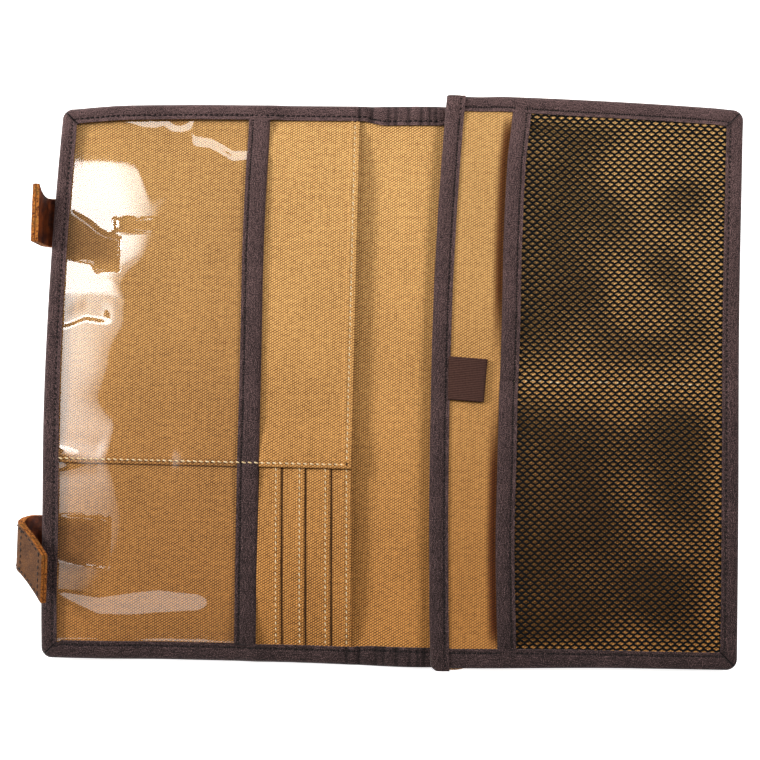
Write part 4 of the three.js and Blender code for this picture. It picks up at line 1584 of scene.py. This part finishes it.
for strap in STRAPS:
    run = strap_line(strap)[3]
    start_run, end_run = run[-1] - strap["free"] - 6, run[-1] - 2.8
    for share in (-0.84, 0.84):
        dark_rows.append(strap_stitches(strap, (start_run, end_run), (share, share)))
    for across_run in (end_run, run[-1] - strap["free"] + 0.8):
        dark_rows.append(strap_stitches(strap, (across_run, across_run), (-0.78, 0.78)))
dark_thread = thread_finish("dark_thread", colour(30, 21, 20), colour(12, 8, 8))
thread_piece("dark_stitches", dark_rows, dark_thread)


# Floor, light and camera
# The case lies on a plain pale floor. Two keys light it from the left and right, with soft boxes above.
bpy.ops.object.select_all(action="DESELECT")
bpy.ops.mesh.primitive_plane_add(size=40)
floor = bpy.context.object
floor.name = "floor"
floor_finish, start = new_finish("pale_floor")
floor_skin = {
    "Base Color": (0.9, 0.9, 0.9, 1),
    "Roughness": 0.9,
    "Emission Color": (1, 1, 1, 1),
    "Emission Strength": 0.85,
}
show(start, start.node("ShaderNodeBsdfPrincipled", (), floor_skin))
floor.data.materials.append(floor_finish)

world = bpy.data.worlds.new("studio")
bpy.context.scene.world = world
world.use_nodes = True
world.node_tree.nodes["Background"].inputs["Color"].default_value = (1, 1, 1, 1)
world.node_tree.nodes["Background"].inputs["Strength"].default_value = 0.08


def soft_box(name, place, aim, size, radiance, fade=None):
    """A rectangular soft box that faces aim. radiance is how bright its face looks.
    fade = the share of its width, on its right, over which it dims, then what it dims to there
    and what it dims to at its foot."""
    light = bpy.data.lights.new(name, "AREA")
    light.shape = "RECTANGLE"
    light.size, light.size_y = size
    light.energy = radiance * math.pi * size[0] * size[1]
    if fade:
        light.use_nodes = True
        light.node_tree.nodes.clear()
        start = Socket(light.node_tree)
        reach, at_right, at_foot = fade
        across, along = start.split(start.node("ShaderNodeNewGeometry", (), (), output=5))
        dim_right = 1 - across.between(1 - reach, 1) * (1 - at_right)
        dim_foot = along.between(0.2, 0.8) * (1 - at_foot) + at_foot
        dim = (dim_right * dim_foot).blend((0, 0, 0, 1), (1, 1, 1, 1))
        lit = start.node("ShaderNodeEmission", (), {"Color": dim, "Strength": 1.0})
        output = light.node_tree.nodes.new("ShaderNodeOutputLight")
        light.node_tree.links.new(lit.output, output.inputs["Surface"])
    lamp = bpy.data.objects.new(name, light)
    bpy.context.scene.collection.objects.link(lamp)
    lamp.location = place
    lamp.rotation_euler = (Vector(aim) - Vector(place)).to_track_quat("-Z", "Y").to_euler()
    return lamp


BOX_HEIGHT = 1.2


def box_above(name, x, y, size, radiance, fade=None):
    """A soft box that faces straight down on the case."""
    return soft_box(name, (x, y, BOX_HEIGHT), (x, y, 0), size, radiance, fade)


soft_box("left_key", (-1.35, 0.34, 0.88), aim=(0, 0, 0), size=(0.45, 0.45), radiance=36.0)
soft_box("right_key", (0.8, 0.4, 1.4), aim=(0.1, 0, 0), size=(0.45, 0.45), radiance=22.0)
soft_box("head_box", (0.05, 0.93, 0.765), aim=(0, 0.14, 0), size=(0.9, 0.22), radiance=3.6)
box_above("left_head_box", -0.79, 0.2685, size=(0.70, 0.187), radiance=9.0, fade=(0.2, 0.0, 1.0))
box_above("left_box", -0.567, -0.0375, size=(0.226, 0.425), radiance=5.3, fade=(1.0, 0.26, 0.3))
box_above("foot_box", -0.3, -0.575, size=(0.7, 0.29), radiance=1.5)

CAMERA_TARGET = Vector((0.3, 0.1, 0)) * MM
CAMERA_DISTANCE = 0.85
CAMERA_RISE = 87
CAMERA_ROLL = 1.35
camera_data = bpy.data.cameras.new("camera")
camera_data.lens = 73.5
camera_data.sensor_width = 36
camera = bpy.data.objects.new("camera", camera_data)
bpy.context.scene.collection.objects.link(camera)
tilt = Matrix.Rotation(math.radians(90 - CAMERA_RISE), 4, "X")
roll = Matrix.Rotation(math.radians(CAMERA_ROLL), 4, "Z")
back = tilt @ Vector((0, 0, CAMERA_DISTANCE))
camera.matrix_world = Matrix.Translation(CAMERA_TARGET + back) @ tilt @ roll
bpy.context.scene.camera = camera
bpy.context.scene.view_settings.view_transform = "Standard"
